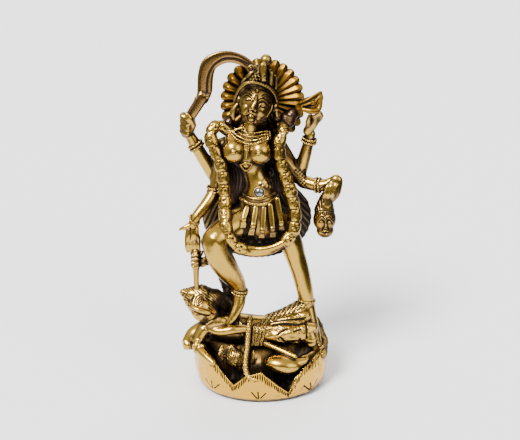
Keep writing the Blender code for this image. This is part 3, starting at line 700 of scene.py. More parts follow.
engrave(hide_mesh, depth=0.6, cut=hide_cut + 0.7 * folds - 0.7 * creases * (1 - roll))
# Painted shade along the bottom of the skin, where it lies on the rock.
under = rise(36.5 - hide_points[:, 2], 0, 2.5)
tiger_skin = cast_piece("tiger_skin", hide_mesh, polished_brass, np.maximum(hide_cut, under))
part_of_casting(tiger_skin)

# Sash: bands of cloth tied over the god's waist on both sides of the snake. Laid on in wax and cut with
# dotted lines, then cast with the figure.
sash_shells = [
    seen_bar([(-15.0, -69.6, -9, 1.2), (-14.0, -75.0, -17, 1.5), (-12.6, -83.0, -21, 1.3)]),
]
for top, low, thick in ((-3.9, -5.6, 1.05), (-1.1, -3.7, 1.05), (1.9, -1.6, 1.1), (5.0, 0.8, 1.3)):
    over, middle, end = (top + 0.5, -72.0, -8), (top * 0.62 + low * 0.38, -79.0, -16.5), (low, -91.0, -20)
    sash_shells.append(seen_bar([(*over, thick), (*middle, thick * 1.1), (*end, thick * 0.8)]))
sash_mesh = fused("sash", sash_shells, grid=0.36)
sash_seen = in_picture(read_points(sash_mesh))
sash_cut = 0.8 * hatch(sash_seen @ (0.97, -0.26), sash_seen @ (0.26, 0.97), spacing=1.3, length=1.8, seed=4)
engrave(sash_mesh, depth=0.45, cut=sash_cut)
sash = cast_piece("sash", sash_mesh, polished_brass, sash_cut)
part_of_casting(sash)

# Snake: comes over the god's waist and hangs to the rim of the rock, a plain rod in the wax with rows of
# scales pressed into it.


def scales(along, angle):
    """Overlapping scales: a sine round the bar times one along it, each row moved by half a scale."""
    row = along / 1.9
    return 0.5 * np.abs(np.sin(angle * 3 + math.pi / 2 * np.floor(row))) * np.abs(np.sin(math.pi * row)) - 0.3


snake_stations = [
    (-7.2, -70.8, -9.0, 1.9),
    (-7.7, -74.0, -15.0, 2.1),
    (-8.6, -81.2, -21.0, 2.15),
    (-9.4, -93.0, -26.5, 2.1),
    (-10.7, -104.8, -35.0, 2.1),
    (-9.6, -111.6, -39.4, 2.1),
    (-6.0, -115.2, -41.2, 1.9),
    (0.6, -116.6, -41.6, 1.3),
]
snake_mesh = mesh_of("snake", [seen_bar(snake_stations, sides=32, steps=24, pattern=scales)])
snake = cast_piece("snake", snake_mesh, polished_brass)
part_of_casting(snake)

# Legs of the goddess: the bent right leg stands on the god's chest, and the straight left one comes down
# behind his knee. Filed smooth and polished brighter than the rest.
leg_shells = [
    bar([(-8, -1, 130, 12.5), (-22, -8.4, 125, 11.0), (-32, -17, 119, 10.3)], sides=40),
    bar(
        [
            (-32, -17, 118, 10.3),
            (-30.5, -17, 108, 9.8),
            (-25, -14, 96, 8.8),
            (-18.5, -9, 84, 6.8),
            (-15.6, -7, 76.5, 5.2),
        ],
        sides=40,
    ),
    bar([(-15.6, -7, 76, 5.2), (-16.4, -11, 67, 4.8), (-20.2, -15, 59, 3.9), (-23.6, -17.5, 53, 2.9)]),
    bar(
        [
            (11, 2, 127, 12),
            (21, 2, 112, 9),
            (25.5, 2, 99, 7.6),
            (29.5, 1, 86, 6.9),
            (32.5, 0, 73, 6.2),
            (34.4, 0, 63, 5.6),
        ],
        sides=40,
    ),
    bar([(34.5, 1, 62, 5.6), (37, -3, 51, 5.2), (40.5, -7, 39, 4.6), (42.5, -11, 29, 3.4)]),
]
for toe in range(4):
    back, drop = toe * 0.6, toe * 0.3
    right_toe = [(-22.0 - 1.5 * toe, -17 + back, 58, 1.4), (-24.5 - 1.3 * toe, -19 + back, 53.0, 1.1)]
    left_toe = [(38 + 2.2 * toe, -10.5, 35 - drop, 1.6), (39.5 + 2.1 * toe, -13, 28.5 - drop, 1.2)]
    leg_shells += [bar(right_toe), bar(left_toe)]
legs_mesh = fused("legs", leg_shells, grid=0.84)
legs = cast_piece("legs", legs_mesh, polished_brass)
part_of_casting(legs)

# Anklets: roped rings, two on the right leg and one on the left, and a strand of small balls that runs
# down over the left foot. Rolled in wax and laid round the legs before the casting.


def rope_ring(centre, radius, thickness, turn, strands=16, wave=0.35):
    """A ring round the local Z axis, whose thickness swells with the sum of its two angles."""
    steps, sides = strands * 6, 8
    turns = (np.arange(steps) * 2 * math.pi / steps, np.arange(sides) * 2 * math.pi / sides)
    around, section = np.meshgrid(*turns, indexing="ij")
    thick = thickness * (1 + wave * np.sin(strands * around + section))
    reach = radius + thick * np.cos(section)
    points = np.stack([np.cos(around) * reach, np.sin(around) * reach, thick * np.sin(section)], -1)
    points = points.reshape(-1, 3) @ turning(turn).T + np.asarray(centre)
    r, s = np.meshgrid(np.arange(steps) * sides, np.arange(sides), indexing="ij")
    next_r, next_s = (r + sides) % (steps * sides), (s + 1) % sides
    quads = np.stack([r + s, next_r + s, next_r + next_s, r + next_s], -1)
    return points, quads.reshape(-1, 4).tolist()


anklet_shells = [
    rope_ring((-15.7, -7.6, 76.6), 5.5, 1.0, (6, 12, 0)),
    rope_ring((-15.9, -8.2, 74.6), 5.5, 0.8, (6, 12, 0)),
    rope_ring((34.1, 0, 65.0), 5.9, 0.9, (0, 8, 0)),
]
for step in range(9):
    place = seen_at(34.6 + 1.15 * step + 0.4 * math.sin(step), -75.4 - 2.2 * step, -9.5 - 0.6 * step)
    anklet_shells.append(egg(place, (1.4, 1.4, 1.1), (0, 25, 0), sides=14, rings=10))
anklet_mesh = mesh_of("anklets", anklet_shells)
anklets = cast_piece("anklets", anklet_mesh, polished_brass)
part_of_casting(anklets)

# Torso and four arms: a slim waist under a broad chest, the lower pair of arms held out to the sides and
# the upper pair raised. One casting with the legs, rubbed bright on the chest, belly and forearms.
body_shells = [
    bar(
        [
            (0, 0, 126, 16.5),
            (-1, -0.5, 140, 14.8),
            (-1.2, -0.5, 149, 12.0),
            (-1.6, -0.5, 155, 10.2),
            (-4, 0, 162, 7.8),
            (-6, 1, 169, 8.8),
            (-8.6, 1, 177, 12.8),
            (-8.6, 2, 186, 12),
        ],
        sides=48,
        thin=0.92,
    ),
    bar([(-27, 3, 183, 6), (-8, 3, 187, 7), (12, 3, 185, 6)]),
    bar([(-8, 1, 188, 6.2), (-7, -1, 201, 5.6)]),
    egg((-19.0, -7.2, 181.8), (8.3, 7.4, 8.8)),
    egg((-0.6, -7.2, 180.9), (8.3, 7.4, 8.6)),
    bar([(-20.5, 0, 192, 4.6), (-20.0, -4.0, 187.5, 5.6), (-19.2, -6.6, 183.5, 6.6)], sides=28),
    bar([(3.0, 0, 192, 4.6), (0.6, -4.0, 187.0, 5.6), (-0.4, -6.6, 182.5, 6.6)], sides=28),
    egg(seen_at(-19.5, 49.2, -14.6), (1.1, 1.0, 1.1)),
    egg(seen_at(-1.2, 48.8, -14.6), (1.1, 1.0, 1.1)),
    bar([(-27, 3, 183, 6), (-32, 5, 170, 5), (-33, 4, 160, 5.2)]),
    bar([(-33, 4, 160, 5.2), (-40, 3, 172, 4.8), (-47, 1, 185, 4.4), (-50, 0, 191, 3.8)]),
    bar([(12, 3, 184, 6), (21, 5, 170, 5), (27, 4, 159, 5)]),
    bar([(27, 4, 159, 5), (31, 2, 175, 4.6), (34, 1, 187, 3.8), (35.5, 0, 192, 3.2)]),
    bar([(-26, 2, 178, 5.5), (-31, 1, 162, 4.8), (-33, 0, 150, 4.8)]),
    bar([(-33, 0, 150, 4.8), (-39, -5, 142, 4.4), (-46, -9, 134, 3.8), (-49, -10.5, 129, 3.2)]),
    bar([(12, 2, 178, 5.5), (22, 2, 166, 5), (30, 0, 157, 4.8)]),
    bar([(30, 0, 157, 4.8), (42, -4, 155.5, 4.6), (50, -6, 158, 3.8)]),
    # Open palm that points down
    bar([(-48, -10, 131, 3.6), (-49.5, -11.5, 121, 5.4)], thin=0.5),
    bar([(-49, -11, 128, 2.2), (-53.5, -12, 127, 1.8), (-58, -12, 125, 1.2)]),
    # Fist round the grip of the sword
    egg((-51.2, -1, 197.2), (5.2, 4.8, 8.2), (0, 22, 0)),
    seen_bar([(-53.2, 77.2, -4.6, 1.7), (-50.6, 73.4, -5.0, 2.1), (-48.6, 68.8, -2.4, 2.6)]),
    # Palm under the bowl
    seen_bar([(34.4, 64.6, 0, 3.4), (37.6, 69.4, -1.0, 4.0), (40.2, 73.4, -1.6, 3.6)], thin=0.8),
    seen_bar([(34.4, 68.6, -3.4, 1.7), (35.2, 72.6, -5.4, 1.9), (36.4, 76.6, -6.0, 1.4)]),
    # Bent wrist and fist that holds the severed head by its hair
    bar([(50, -6, 158, 4), (54, -7, 160.5, 4), (52.5, -7, 152, 4.6), (50, -7, 147, 3.8)], thin=0.8),
]
# Fingers of the open palm, of the sword fist and of the palm under the bowl, then of the last fist
for finger in range(4):
    x = -53.5 + 2.9 * finger
    tip = 106.5 + abs(finger - 1.5)
    body_shells.append(bar([(x, -11.5, 119, 1.65), (x, -12.5, 112, 1.5), (x + 0.5, -12, tip, 1.2)]))
    up = 76.0 - 3.7 * finger
    body_shells.append(
        seen_bar([(-55.6, up + 1.0, -1.0, 1.7), (-56.8, up - 0.4, -3.6, 1.9), (-52.6, up - 2.6, -5.4, 1.8)])
    )
    x, up = 38.6 + 1.6 * finger, 69.6 + 1.0 * finger
    body_shells.append(
        seen_bar([(x, up, -1.0, 1.6), (x + 1.4, up + 3.2, -2.2, 1.5), (x + 0.4, up + 5.8, -4.6, 1.2)])
    )
for finger in range(3):
    x = 53 - 3 * finger
    body_shells.append(bar([(x, -10, 157, 1.6), (x - 2, -11.5, 151, 1.5), (x - 3, -10, 147, 1.2)]))
body_mesh = fused("torso_and_arms", body_shells, grid=0.69, rounds=2)
body_tree = tree_of(body_mesh)
body_seen = in_picture(read_points(body_mesh))
body_cut = np.zeros(len(body_seen))
for across, up in ((-19.5, 49.2), (-1.2, 48.8)):
    ahead = np.hypot(body_seen[:, 0] - across, body_seen[:, 1] - up)
    body_cut = np.maximum(body_cut, 0.5 * np.exp(-(((ahead - 2.0) / 0.4) ** 2)))
arm_lines = [
    ((-43.5, 57.5), (-38.0, 48.0), (-32.5, 37.0)),
    ((41.5, 20.5), (46.0, 24.5), (52.0, 29.5)),
    ((-50.6, -6.0), (-50.6, -14.0)),
    ((-56.4, 1.5), (-50.5, 3.6)),
]
body_cut = np.maximum(body_cut, picture_cut(body_mesh, arm_lines, width=0.5))
body_cut *= facing(body_mesh)
armlet = within(body_seen[:, 0], 25, 33.5) & within(body_seen[:, 1], 23, 37)
armlet_beads = rise(-np.sin(body_seen[:, 0] * 2.1) * np.sin(body_seen[:, 1] * 2.3), -0.2, 0.5) * armlet
body_cut = np.maximum(body_cut, armlet_beads)
belly = rise(4.6 - np.hypot((body_seen[:, 0] - 5.6) / 1.5, (body_seen[:, 1] - 26.4)), 0, 1.5)
belly *= facing(body_mesh)
rough = ripples(read_points(body_mesh), size=2.6, seed=41)
engrave(body_mesh, depth=0.45, cut=body_cut - belly * (0.8 + 0.7 * rough))
# Darker patina on the rough belly, painted shade at the waist and under the chest, and darker on the left
# arms and on the back of the fist
across, up = body_seen.T
waist = rise(-across, 7.5, 12.0) * rise(across, -24, -22) * rise(up, 16, 22) * rise(44 - up, 0, 4)
under_chest = rise(across, 0.5, 3.5) * rise(up, 29, 33) * rise(12 - across, 0, 2) * rise(43 - up, 0, 3)
left_arms = rise(across, 16, 20) * rise(up, 10, 14)
fist_back = rise(-across, 52, 54) * rise(up, 58, 62)
body_stain_and_shade = body_cut
for place, share in (
    (belly, 0.22 + 0.3 * rise(rough, 0.1, 0.8)),
    (waist, 0.5),
    (under_chest, 0.5),
    (left_arms, 0.22),
    (fist_back, 0.4),
):
    body_stain_and_shade = np.maximum(body_stain_and_shade, place * share)
torso = cast_piece("torso_and_arms", body_mesh, polished_brass, body_stain_and_shade)
part_of_casting(torso)

# Bangles: pairs of roped rings on three forearms and at the elbow above the open hand, and a single one at
# the open hand's wrist. Rolled in wax and laid round the arms before the casting.
bangle_shells = []
for middle, radius, turn in (
    ((34.4, 0.7, 188.6), 4.5, (10, 12, 0)),
    ((33.9, 0.9, 186.4), 4.7, (10, 12, 0)),
    ((42.0, -3.9, 155.5), 4.8, (0, 86, -20)),
    ((39.8, -3.2, 155.5), 4.9, (0, 88, -20)),
    ((-33.0, 0, 152.6), 5.2, (0, 6, 0)),
    ((-33.0, 0, 150.2), 5.2, (0, -4, 0)),
    ((-46.6, 1.1, 184.6), 4.9, (0, -30, 0)),
    ((-45.4, 1.4, 182.4), 5.0, (0, -30, 0)),
    ((-47.6, -9.8, 131.6), 3.9, (20, 40, 0)),
):
    bangle_shells.append(rope_ring(middle, radius, 0.85, turn))
bangle_mesh = mesh_of("bangles", bangle_shells)
bangles = cast_piece("bangles", bangle_mesh, polished_brass)
part_of_casting(bangles)

# Head: tilted over the right shoulder, with wide eyes under double brows, a round mark on the brow and
# the tongue out. Built up in the wax on an egg, and cut with a fine tool.
HEAD_TURN = (0, 9, 0)
FACE_CENTRE = (-3.8, -5.0, 214.2)
warm_brass = antique_brass("warm_brass", (0.41, 0.24, 0.038), patina=0.12)
head_egg = egg(FACE_CENTRE, (11.7, 12.2, 14.2), HEAD_TURN, sides=72, rings=54)
plain_head = mesh_of("plain_head", [head_egg])
head_tree = tree_of(plain_head)
bpy.data.meshes.remove(plain_head)


def face_egg(across, up, sink, radii, lean=HEAD_TURN[1]):
    """An egg let into the face where the eye sees it, sunk by so much and leaning with the head."""
    place = touched(head_tree, [(across, up)], -sink)[0]
    return egg(place, radii, (0, lean, 0))


def arc(left, top, right, points=9):
    """A line through three picture places as a parabola: its middle point is the top."""
    t = np.linspace(0, 1, points)[:, None]
    left, top, right = (np.array(place) for place in (left, top, right))
    return left * (1 - t) * (1 - 2 * t) + top * 4 * t * (1 - t) + right * t * (2 * t - 1)


brow_cuts = [
    arc((-12.0, 93.4), (-8.7, 95.2), (-5.6, 91.8)),
    arc((-12.8, 90.4), (-9.2, 92.4), (-5.0, 88.4)),
    arc((-12.4, 88.6), (-9.2, 90.4), (-6.2, 88.0)),
    arc((1.0, 89.8), (4.3, 91.0), (7.6, 87.8)),
    arc((-1.8, 85.8), (2.2, 88.4), (6.9, 84.6)),
    arc((-0.7, 84.0), (2.3, 85.7), (5.2, 83.2)),
]
slits = [arc((-10.2, 87.2), (-8.4, 86.5), (-6.6, 87.3)), arc((0.7, 82.5), (2.2, 81.7), (3.7, 82.3))]
head_shells = [
    head_egg,
    egg((-2.8, 1.5, 216.5), (14.0, 9.0, 15.4), HEAD_TURN, sides=56, rings=40),
    # Chin, cheeks, eyes, the mark on the brow, nostrils, the tongue, and the jaw on both sides of it
    face_egg(-7.2, 70.8, 1.6, (3.3, 2.8, 2.4)),
    face_egg(-11.0, 80.0, 2.2, (4.0, 3.4, 5.0)),
    face_egg(0.9, 78.0, 2.2, (4.2, 3.4, 5.0)),
    face_egg(-8.4, 87.8, 0.3, (2.4, 1.3, 1.0), 4.0),
    face_egg(2.2, 83.1, 0.3, (2.4, 1.3, 1.0), 14.0),
    face_egg(-1.9, 94.0, 0.0, (1.1, 0.9, 1.1)),
    face_egg(-7.1, 80.3, 0.0, (1.3, 1.4, 1.0)),
    face_egg(-3.5, 79.7, 0.0, (1.3, 1.4, 1.0)),
    face_egg(-6.3, 74.4, -0.5, (2.4, 1.6, 3.0)),
    face_egg(-9.4, 71.8, 0.1, (1.0, 0.9, 1.0)),
    face_egg(-3.4, 71.2, 0.1, (1.0, 0.9, 1.0)),
    face_egg(-1.0, 74.6, 0.4, (1.6, 1.2, 2.4)),
]
bridge = [(-2.6, 89.6, 0.1), (-3.5, 85.6, 1.1), (-5.1, 81.8, 1.9)]
head_shells.append(
    bar([(*touched(head_tree, [(x, up)], lift)[0], 0.9 + 0.45 * lift) for x, up, lift in bridge])
)
head_shells += bars_on(head_tree, [line - (0.0, 0.9) for line in brow_cuts], radius=0.45, lift=0.15, sides=12)
upper_lip = arc((-9.6, 76.8), (-6.5, 78.3), (-3.0, 76.4))
side_lock = ((8.6, 83.4), (7.4, 79.6), (4.6, 75.4))
head_shells += bars_on(head_tree, [upper_lip], radius=0.7, lift=0.4)
head_shells += bars_on(head_tree, [side_lock], radius=0.6, lift=0.5)
# Ears
head_shells += [
    egg(seen_at(-15.4, 87.4, -4), (1.5, 2.8, 3.6), (0, 4, 0)),
    egg(seen_at(10.8, 81.4, -3), (1.8, 2.6, 3.8), (0, 18, 0)),
]
head_mesh = fused("head", head_shells, grid=0.34, rounds=1)
head_seen = in_picture(read_points(head_mesh))
face_lines = [
    *brow_cuts,
    *slits,
    ((-1.4, 85.6), (-1.6, 83.0), (-2.0, 80.4)),
    ((-5.3, 79.0), (-5.1, 78.6)),
    ((-9.6, 76.0), (-9.0, 72.6), (-6.6, 70.9), (-3.9, 72.2), (-3.2, 75.6)),
    ((-8.3, 79.4), (-8.6, 78.6)),
    ((-2.4, 78.8), (-2.0, 78.0)),
    ((-8.6, 69.2), (-6.4, 68.8), (-4.6, 69.2)),
]
head_cut = picture_cut(head_mesh, face_lines, width=0.36)
# A ring round the mark on the brow, and the dip in the tongue
away = np.hypot(head_seen[:, 0] + 1.95, head_seen[:, 1] - 94.0)
head_cut = np.maximum(head_cut, np.exp(-(((away - 1.45) / 0.35) ** 2)) * facing(head_mesh))
away = np.hypot(head_seen[:, 0] + 6.3, head_seen[:, 1] - 74.4)
head_cut = np.maximum(head_cut, 0.6 * np.exp(-((away / 0.6) ** 2)) * facing(head_mesh))
head_points = read_points(head_mesh)
combed_back = rise(head_points[:, 1], -3.0, -1.0)
strands = hatch(head_points @ (0.9, 0.5, 0), head_points[:, 2], spacing=1.5, length=8.0, seed=3)
head_cut = np.maximum(head_cut, strands * combed_back)
engrave(head_mesh, depth=0.36, cut=head_cut)
head = cast_piece("head", head_mesh, warm_brass, np.maximum(head_cut, combed_back * 0.6))
part_of_casting(head)

# Crown: a double band over the brow and down to both ears, a peaked front plate with bosses, a square
# column and a ball on top, a flower at the left that the sword's tip rests on, and a tall petal.
band = np.array(
    [
        (-16.9, 85.2),
        (-16.1, 89.3),
        (-14.1, 93.8),
        (-10.8, 97.3),
        (-6.6, 98.8),
        (-2.5, 98.5),
        (2.0, 97.0),
        (6.4, 94.4),
        (9.3, 90.8),
        (10.8, 87.0),
        (11.4, 83.6),
    ]
)
band_middle = np.array((-3.0, 84.0))
crown_shells = bars_on(head_tree, [band], radius=0.7, lift=0.1)
band_depth = [-2.5, -5.0, -8.5, -11.5, -13.0, -13.2, -12.0, -9.5, -7.0, -4.5, -2.5]
for outward, thick in ((1.06, 0.7), (1.13, 0.8)):
    outer_band = band_middle + (band - band_middle) * outward
    back = 10 * (outward - 1)
    crown_shells.append(seen_bar([(*place, y + back, thick) for place, y in zip(outer_band, band_depth)]))
boss_line = curve_through(np.column_stack([band_middle + (band - band_middle) * 1.09, band_depth]), 3)
for x, up, y in boss_line[2:-2]:
    crown_shells.append(egg(seen_at(x, up, y + 0.6), (0.95, 0.95, 0.95), (0, 0, 0), sides=14, rings=10))
crown_shells += [
    bar([(-2.4, -1, 228.5, 10.2), (-0.8, -2, 233.5, 8.0), (0.8, -3, 238, 4.8)], sides=40),
    # Front plate, column, ball and its collar
    seen_bar([(-3.4, 101.4, -9.0, 5.2), (-0.6, 104.8, -9.0, 4.4), (1.6, 109.6, -9.0, 3.6)], thin=0.6),
    seen_bar([(2.6, 102.6, -11.5, 2.35), (2.5, 107.0, -11.5, 2.35), (2.5, 112.6, -11.0, 2.35)], boxy=0.6),
    egg(seen_at(4.4, 115.8, -4.6), (4.2, 4.0, 4.5)),
    # Flower, the leaf under it and the petals beyond the dark slot
    egg(seen_at(-6.4, 110.0, -8.0), (3.0, 2.0, 2.8)),
    egg(seen_at(-3.2, 110.8, -7.0), (2.2, 1.8, 2.0)),
    egg(seen_at(-7.0, 105.4, -8.5), (1.9, 1.9, 4.6), (0, 35, 0)),
    egg(seen_at(-11.0, 101.4, -7.0), (1.7, 1.8, 3.6), (0, 40, 0)),
    seen_bar([(7.8, 99.0, -6.6, 1.9), (8.2, 104.0, -6.6, 2.0), (7.4, 108.4, -6.6, 1.5)], thin=0.6),
    seen_bar([(11.4, 96.0, -3.6, 1.5), (11.4, 100.5, -3.6, 1.5), (10.6, 104.5, -3.6, 1.2)], thin=0.6),
    # Pendants below the ears
    seen_bar(
        [(-16.4, 84.0, -6, 1.5), (-18.6, 80.8, -6, 2.1), (-19.8, 77.4, -6, 2.2), (-19.0, 73.6, -6, 1.3)],
    ),
    seen_bar([(12.0, 79.4, -5, 1.6), (12.6, 76.0, -5, 1.4)]),
]
for row in range(3):
    for boss in range(4 - row):
        place = seen_at(-7.0 + 2.3 * boss + 1.6 * row, 102.2 + 2.2 * row, -13.0 + 0.9 * row)
        crown_shells.append(egg(place, (0.85, 0.85, 0.85), (0, 0, 0), sides=14, rings=10))
crown_mesh = fused("crown", crown_shells, grid=0.40, rounds=1)
crown_seen = in_picture(read_points(crown_mesh))
crown_lines = [
    ((5.6, 102.5), (5.8, 107.0), (5.6, 111.5)),
    ((8.4, 108.2), (8.4, 108.4)),
    ((10.4, 97.0), (10.6, 104.0)),
    ((-2.4, 108.4), (-6.2, 104.6), (-10.6, 101.2)),
    ((-1.6, 103.2), (-1.4, 103.0)),
    ((3.6, 99.4), (4.0, 99.2)),
    ((0.6, 101.6), (-0.2, 106.0)),
    ((3.4, 104.6), (4.8, 104.6)),
]
crown_cut = picture_cut(crown_mesh, crown_lines, width=0.55)
# The flower's ring and its eye
flower = np.hypot(crown_seen[:, 0] + 6.6, crown_seen[:, 1] - 109.9)
flower_cut = np.maximum(np.exp(-(((flower - 1.6) / 0.4) ** 2)), np.exp(-((flower / 0.5) ** 2)))
crown_cut = np.maximum(crown_cut, flower_cut * facing(crown_mesh))
engrave(crown_mesh, depth=0.55, cut=crown_cut)
crown = cast_piece("crown", crown_mesh, dull_brass, crown_cut)
part_of_casting(crown)

# Hair fan: the loose hair stands round the head like an opened fan, rounded petals on the left and long
# creased flutes on the right, and ends in curls on both shoulders. Thin, and browner than the figure.
brown_brass = antique_brass("brown_brass", (0.25, 0.126, 0.014), patina=-0.26, shine=0.38)
FAN_CENTRE = np.array((1.0, 8.0, 214.0))
FLUTES, PETALS = 14, 12


def fan_count(angle):
    """How many lobes lie between the top and an angle: one count on the right side, another on the left."""
    turn = np.mod(angle - math.pi / 2, 2 * math.pi)
    return np.where(turn < math.pi, turn / math.pi * PETALS, (2 * math.pi - turn) / math.pi * FLUTES)


def hair_fan():
    """A closed disc in rings: radius = outline x share, scalloped between lobes; the front swells in each.

    A petal swells as a sine. A flute rises as a straight crease from both sides.
    """
    around, rings = 650, 22
    angle = -np.arange(around) * 2 * math.pi / around
    up = np.sin(angle) > 0
    power = np.where(up, 2.1, 3.0)
    wide, high = 29.8, np.where(up, 30.5, 27.0)
    reach = (np.abs(np.cos(angle) / wide) ** power + np.abs(np.sin(angle) / high) ** power) ** (-1 / power)
    number = fan_count(angle)
    swell = np.abs(np.sin(math.pi * number))
    crease = 1 - np.abs(2 * np.mod(number, 1) - 1)
    petal = rise(-np.cos(angle), -0.25, 0.25)
    fold = petal * swell**0.6 + (1 - petal) * crease
    notch = 1 - (petal * swell**0.6 + (1 - petal) * swell**0.45)
    rows = []
    for share in np.linspace(0.2, 1, rings):
        radius = reach * share * (1 - 0.085 * share * notch)
        fat = 1.9 * petal * fold * rise(share, 0.45, 0.8) * rise(1 - share, 0.0, 0.16)
        front = 0.9 - 2.1 * fold * share - fat + 1.7 * rise(share, 0.86, 1.0)
        rows.append(np.stack([np.cos(angle) * radius, front, np.sin(angle) * radius], -1))
    for share in (0.985, *np.linspace(0.94, 0.2, 8)):
        radius = reach * share * (1 - 0.085 * share * notch)
        back = 2.4 + 1.1 * fold * share * rise(1 - share, 0.0, 0.12) + 0.4 * rise(1 - share, 0.0, 0.1)
        rows.append(np.stack([np.cos(angle) * radius, back, np.sin(angle) * radius], -1))
    return shell(np.concatenate(rows) + FAN_CENTRE, len(rows), around)


fan_mesh = mesh_of("hair_fan", [hair_fan()])
fan_points = read_points(fan_mesh) - FAN_CENTRE
fan_valley = 1 - np.abs(np.sin(math.pi * fan_count(np.arctan2(fan_points[:, 2], fan_points[:, 0]))))
fan_stain = fan_valley**5 + 0.8 * rise(fan_points[:, 1], 2.0, 2.8)
hair_fan_piece = cast_piece("hair_fan", fan_mesh, brown_brass, fan_stain * 0.35)
part_of_casting(hair_fan_piece)

# Curls: the ends of the loose hair, rolled up on both shoulders behind the garland, with one lower lock at
# the waist. Cut with curved strands and left almost as dark as they came from the mould.
curl_shells = []
for x, up, y, size, tall, turn in (
    (19.4, 72.4, 2, 6.4, 5.2, 25),
    (23.6, 77.0, 4, 4.6, 4.2, 30),
    (12.8, 75.4, 0, 3.6, 4.2, 0),
    (7.4, 34.4, 3, 2.6, 4.0, 0),
    (14.6, 68.6, 1, 3.8, 3.6, 20),
    (-22.6, 71.6, 3, 4.4, 3.4, -35),
    (-24.4, 66.0, 3, 3.6, 3.2, -35),
):
    curl_shells.append(egg(seen_at(x, up, y), (size, 4.4, tall), (0, turn, 0), sides=40, rings=28))
curls_mesh = fused("curls", curl_shells, grid=0.55)
curl_points = read_points(curls_mesh)
curl_across = curl_points[:, 2] + 0.5 * curl_points[:, 0]
curl_cut = 0.4 * hatch(curl_across, curl_points[:, 0], spacing=2.4, length=12.0, seed=8)
engrave(curls_mesh, depth=0.4, cut=curl_cut)
dark_brass = antique_brass("dark_brass", (0.22, 0.125, 0.035), patina=0.24, shine=0.24)
curls = cast_piece("curls", curls_mesh, dark_brass, curl_cut)
part_of_casting(curls)

# Sword: a square grip in the upper right fist and a broad blade that curves over to the crown, flat on its
# face with a bevel along the inner edge. It kept more of its brown finish than the figure.
sword_brass = antique_brass("sword_brass", (0.27, 0.150, 0.042), patina=0.10, shine=0.22)
blade = [
    (-40.5, -1, 218, 4.6),
    (-39.0, -1, 224, 5.3),
    (-38.2, -1, 234, 5.5),
    (-35.6, -1, 241.6, 5.4),
    (-29, -1, 245.8, 4.8),
    (-21, -1, 246.8, 4.1),
    (-13, -1, 244.4, 3.7),
    (-6.5, -2, 240.5, 3.1),
]
grip = [(-53, -2, 200, 3.6), (-48, -2, 207.5, 3.8), (-40.5, -1, 219, 4.1)]
sword_shells = [
    bar(blade, sides=40, steps=10, thin=0.32, boxy=0.62),
    bar(grip, sides=24, thin=0.8, boxy=0.6),
    bar([(-45.0, -2.4, 217.8, 1.6), (-37.0, -2.4, 219.6, 1.6)]),
    bar([(-52.6, -3.4, 207.0, 1.3), (-47.2, -3.4, 204.2, 1.3)]),
]
sword_mesh = fused("sword", sword_shells, grid=0.46, rounds=2)
bevel = [
    (-38.5, 93.0),
    (-38.4, 100.0),
    (-36.8, 107.6),
    (-32.6, 113.6),
    (-26.0, 117.4),
    (-17.0, 117.2),
    (-9.5, 113.8),
]
grip_edges = [((-53.5, 73.0), (-43.6, 89.6)), ((-49.0, 70.2), (-38.6, 87.0))]
bevel_cut = picture_cut(sword_mesh, [curve_through(bevel, 8)], width=0.8)
grip_cut = picture_cut(sword_mesh, grip_edges, width=0.6)
sword_cut = np.maximum(bevel_cut * 0.6, grip_cut * 0.7)
engrave(sword_mesh, depth=0.45, cut=sword_cut)
sword = cast_piece("sword", sword_mesh, sword_brass, sword_cut)
part_of_casting(sword)

# Skull bowl: the cup in the upper left hand, with a tall pointed lip that rises like a flame. Pinched from
# a flat piece of wax, so that its rim and folds stand up, and left brown like the fan.
bowl_shells = [
    seen_bar(
        [
            (28, 82, 0, 2.6),
            (33, 83.4, -1, 5.0),
            (38.5, 84.8, -2, 5.6),
            (42.6, 88.4, -2, 3.6),
            (44.3, 92.6, -2, 1.2),
        ],
        sides=32,
        thin=0.7,
    ),
    seen_bar(
        [
            (31, 80.4, -5, 1.5),
            (37, 79.2, -6, 2.2),
            (42.4, 80.4, -4.5, 1.9),
            (44.2, 86, -3.5, 1.4),
            (44.2, 92.6, -2.5, 0.9),
        ]
    ),
    seen_bar([(29, 85.2, -3, 0.9), (35, 87.8, -4.5, 1.0), (43.6, 93.0, -3, 0.8)]),
    seen_bar([(30, 83.0, -4.5, 0.8), (35.4, 84.6, -6, 0.9), (39, 86.4, -5.8, 0.6)]),
]
bowl_mesh = fused("skull_bowl", bowl_shells, grid=0.42, rounds=1)
bowl_lines = [
    [(30.0, 84.2), (34.6, 86.2), (39.6, 88.8)],
    [(31.0, 82.2), (36.0, 82.4), (40.6, 83.6), (42.6, 87.4)],
    [(38.0, 86.0), (41.6, 89.6)],
]
bowl_cut = 0.7 * picture_cut(bowl_mesh, bowl_lines, width=0.5)
engrave(bowl_mesh, depth=0.6, cut=bowl_cut)
skull_bowl = cast_piece("skull_bowl", bowl_mesh, brown_brass, bowl_cut)
part_of_casting(skull_bowl)

# Severed head: hangs by its hair from the lower left fist, with heavy double brows and a moustache. Built up
# on an egg of wax and cut with the same fine tool as the goddess's face.
SEVERED = np.array((45.6, -8.0, 131.0))
severed_body = [
    bar([(50, -6.5, 153, 3.8), (46.4, -7, 146, 5.2), (45.4, -7, 138, 7.6)], sides=28),
    egg(SEVERED + (0, 0, 0.5), (8.3, 7.4, 9.4), sides=40, rings=30),
    egg(SEVERED + (0.5, -1, -7.5), (6.2, 5.6, 5.6)),
]
plain_severed = mesh_of("plain_severed", severed_body[1:])
severed_tree = tree_of(plain_severed)
bpy.data.meshes.remove(plain_severed)
severed_brows = [arc((42.8, 1.8), (44.9, 3.4), (46.8, 1.6)), arc((48.6, 1.6), (50.6, 3.0), (52.6, 0.8))]
severed_face = bars_on(severed_tree, severed_brows, radius=0.5, lift=0.2)
severed_face += bars_on(severed_tree, [line - (0.1, 1.5) for line in severed_brows], radius=0.4, lift=0.25)
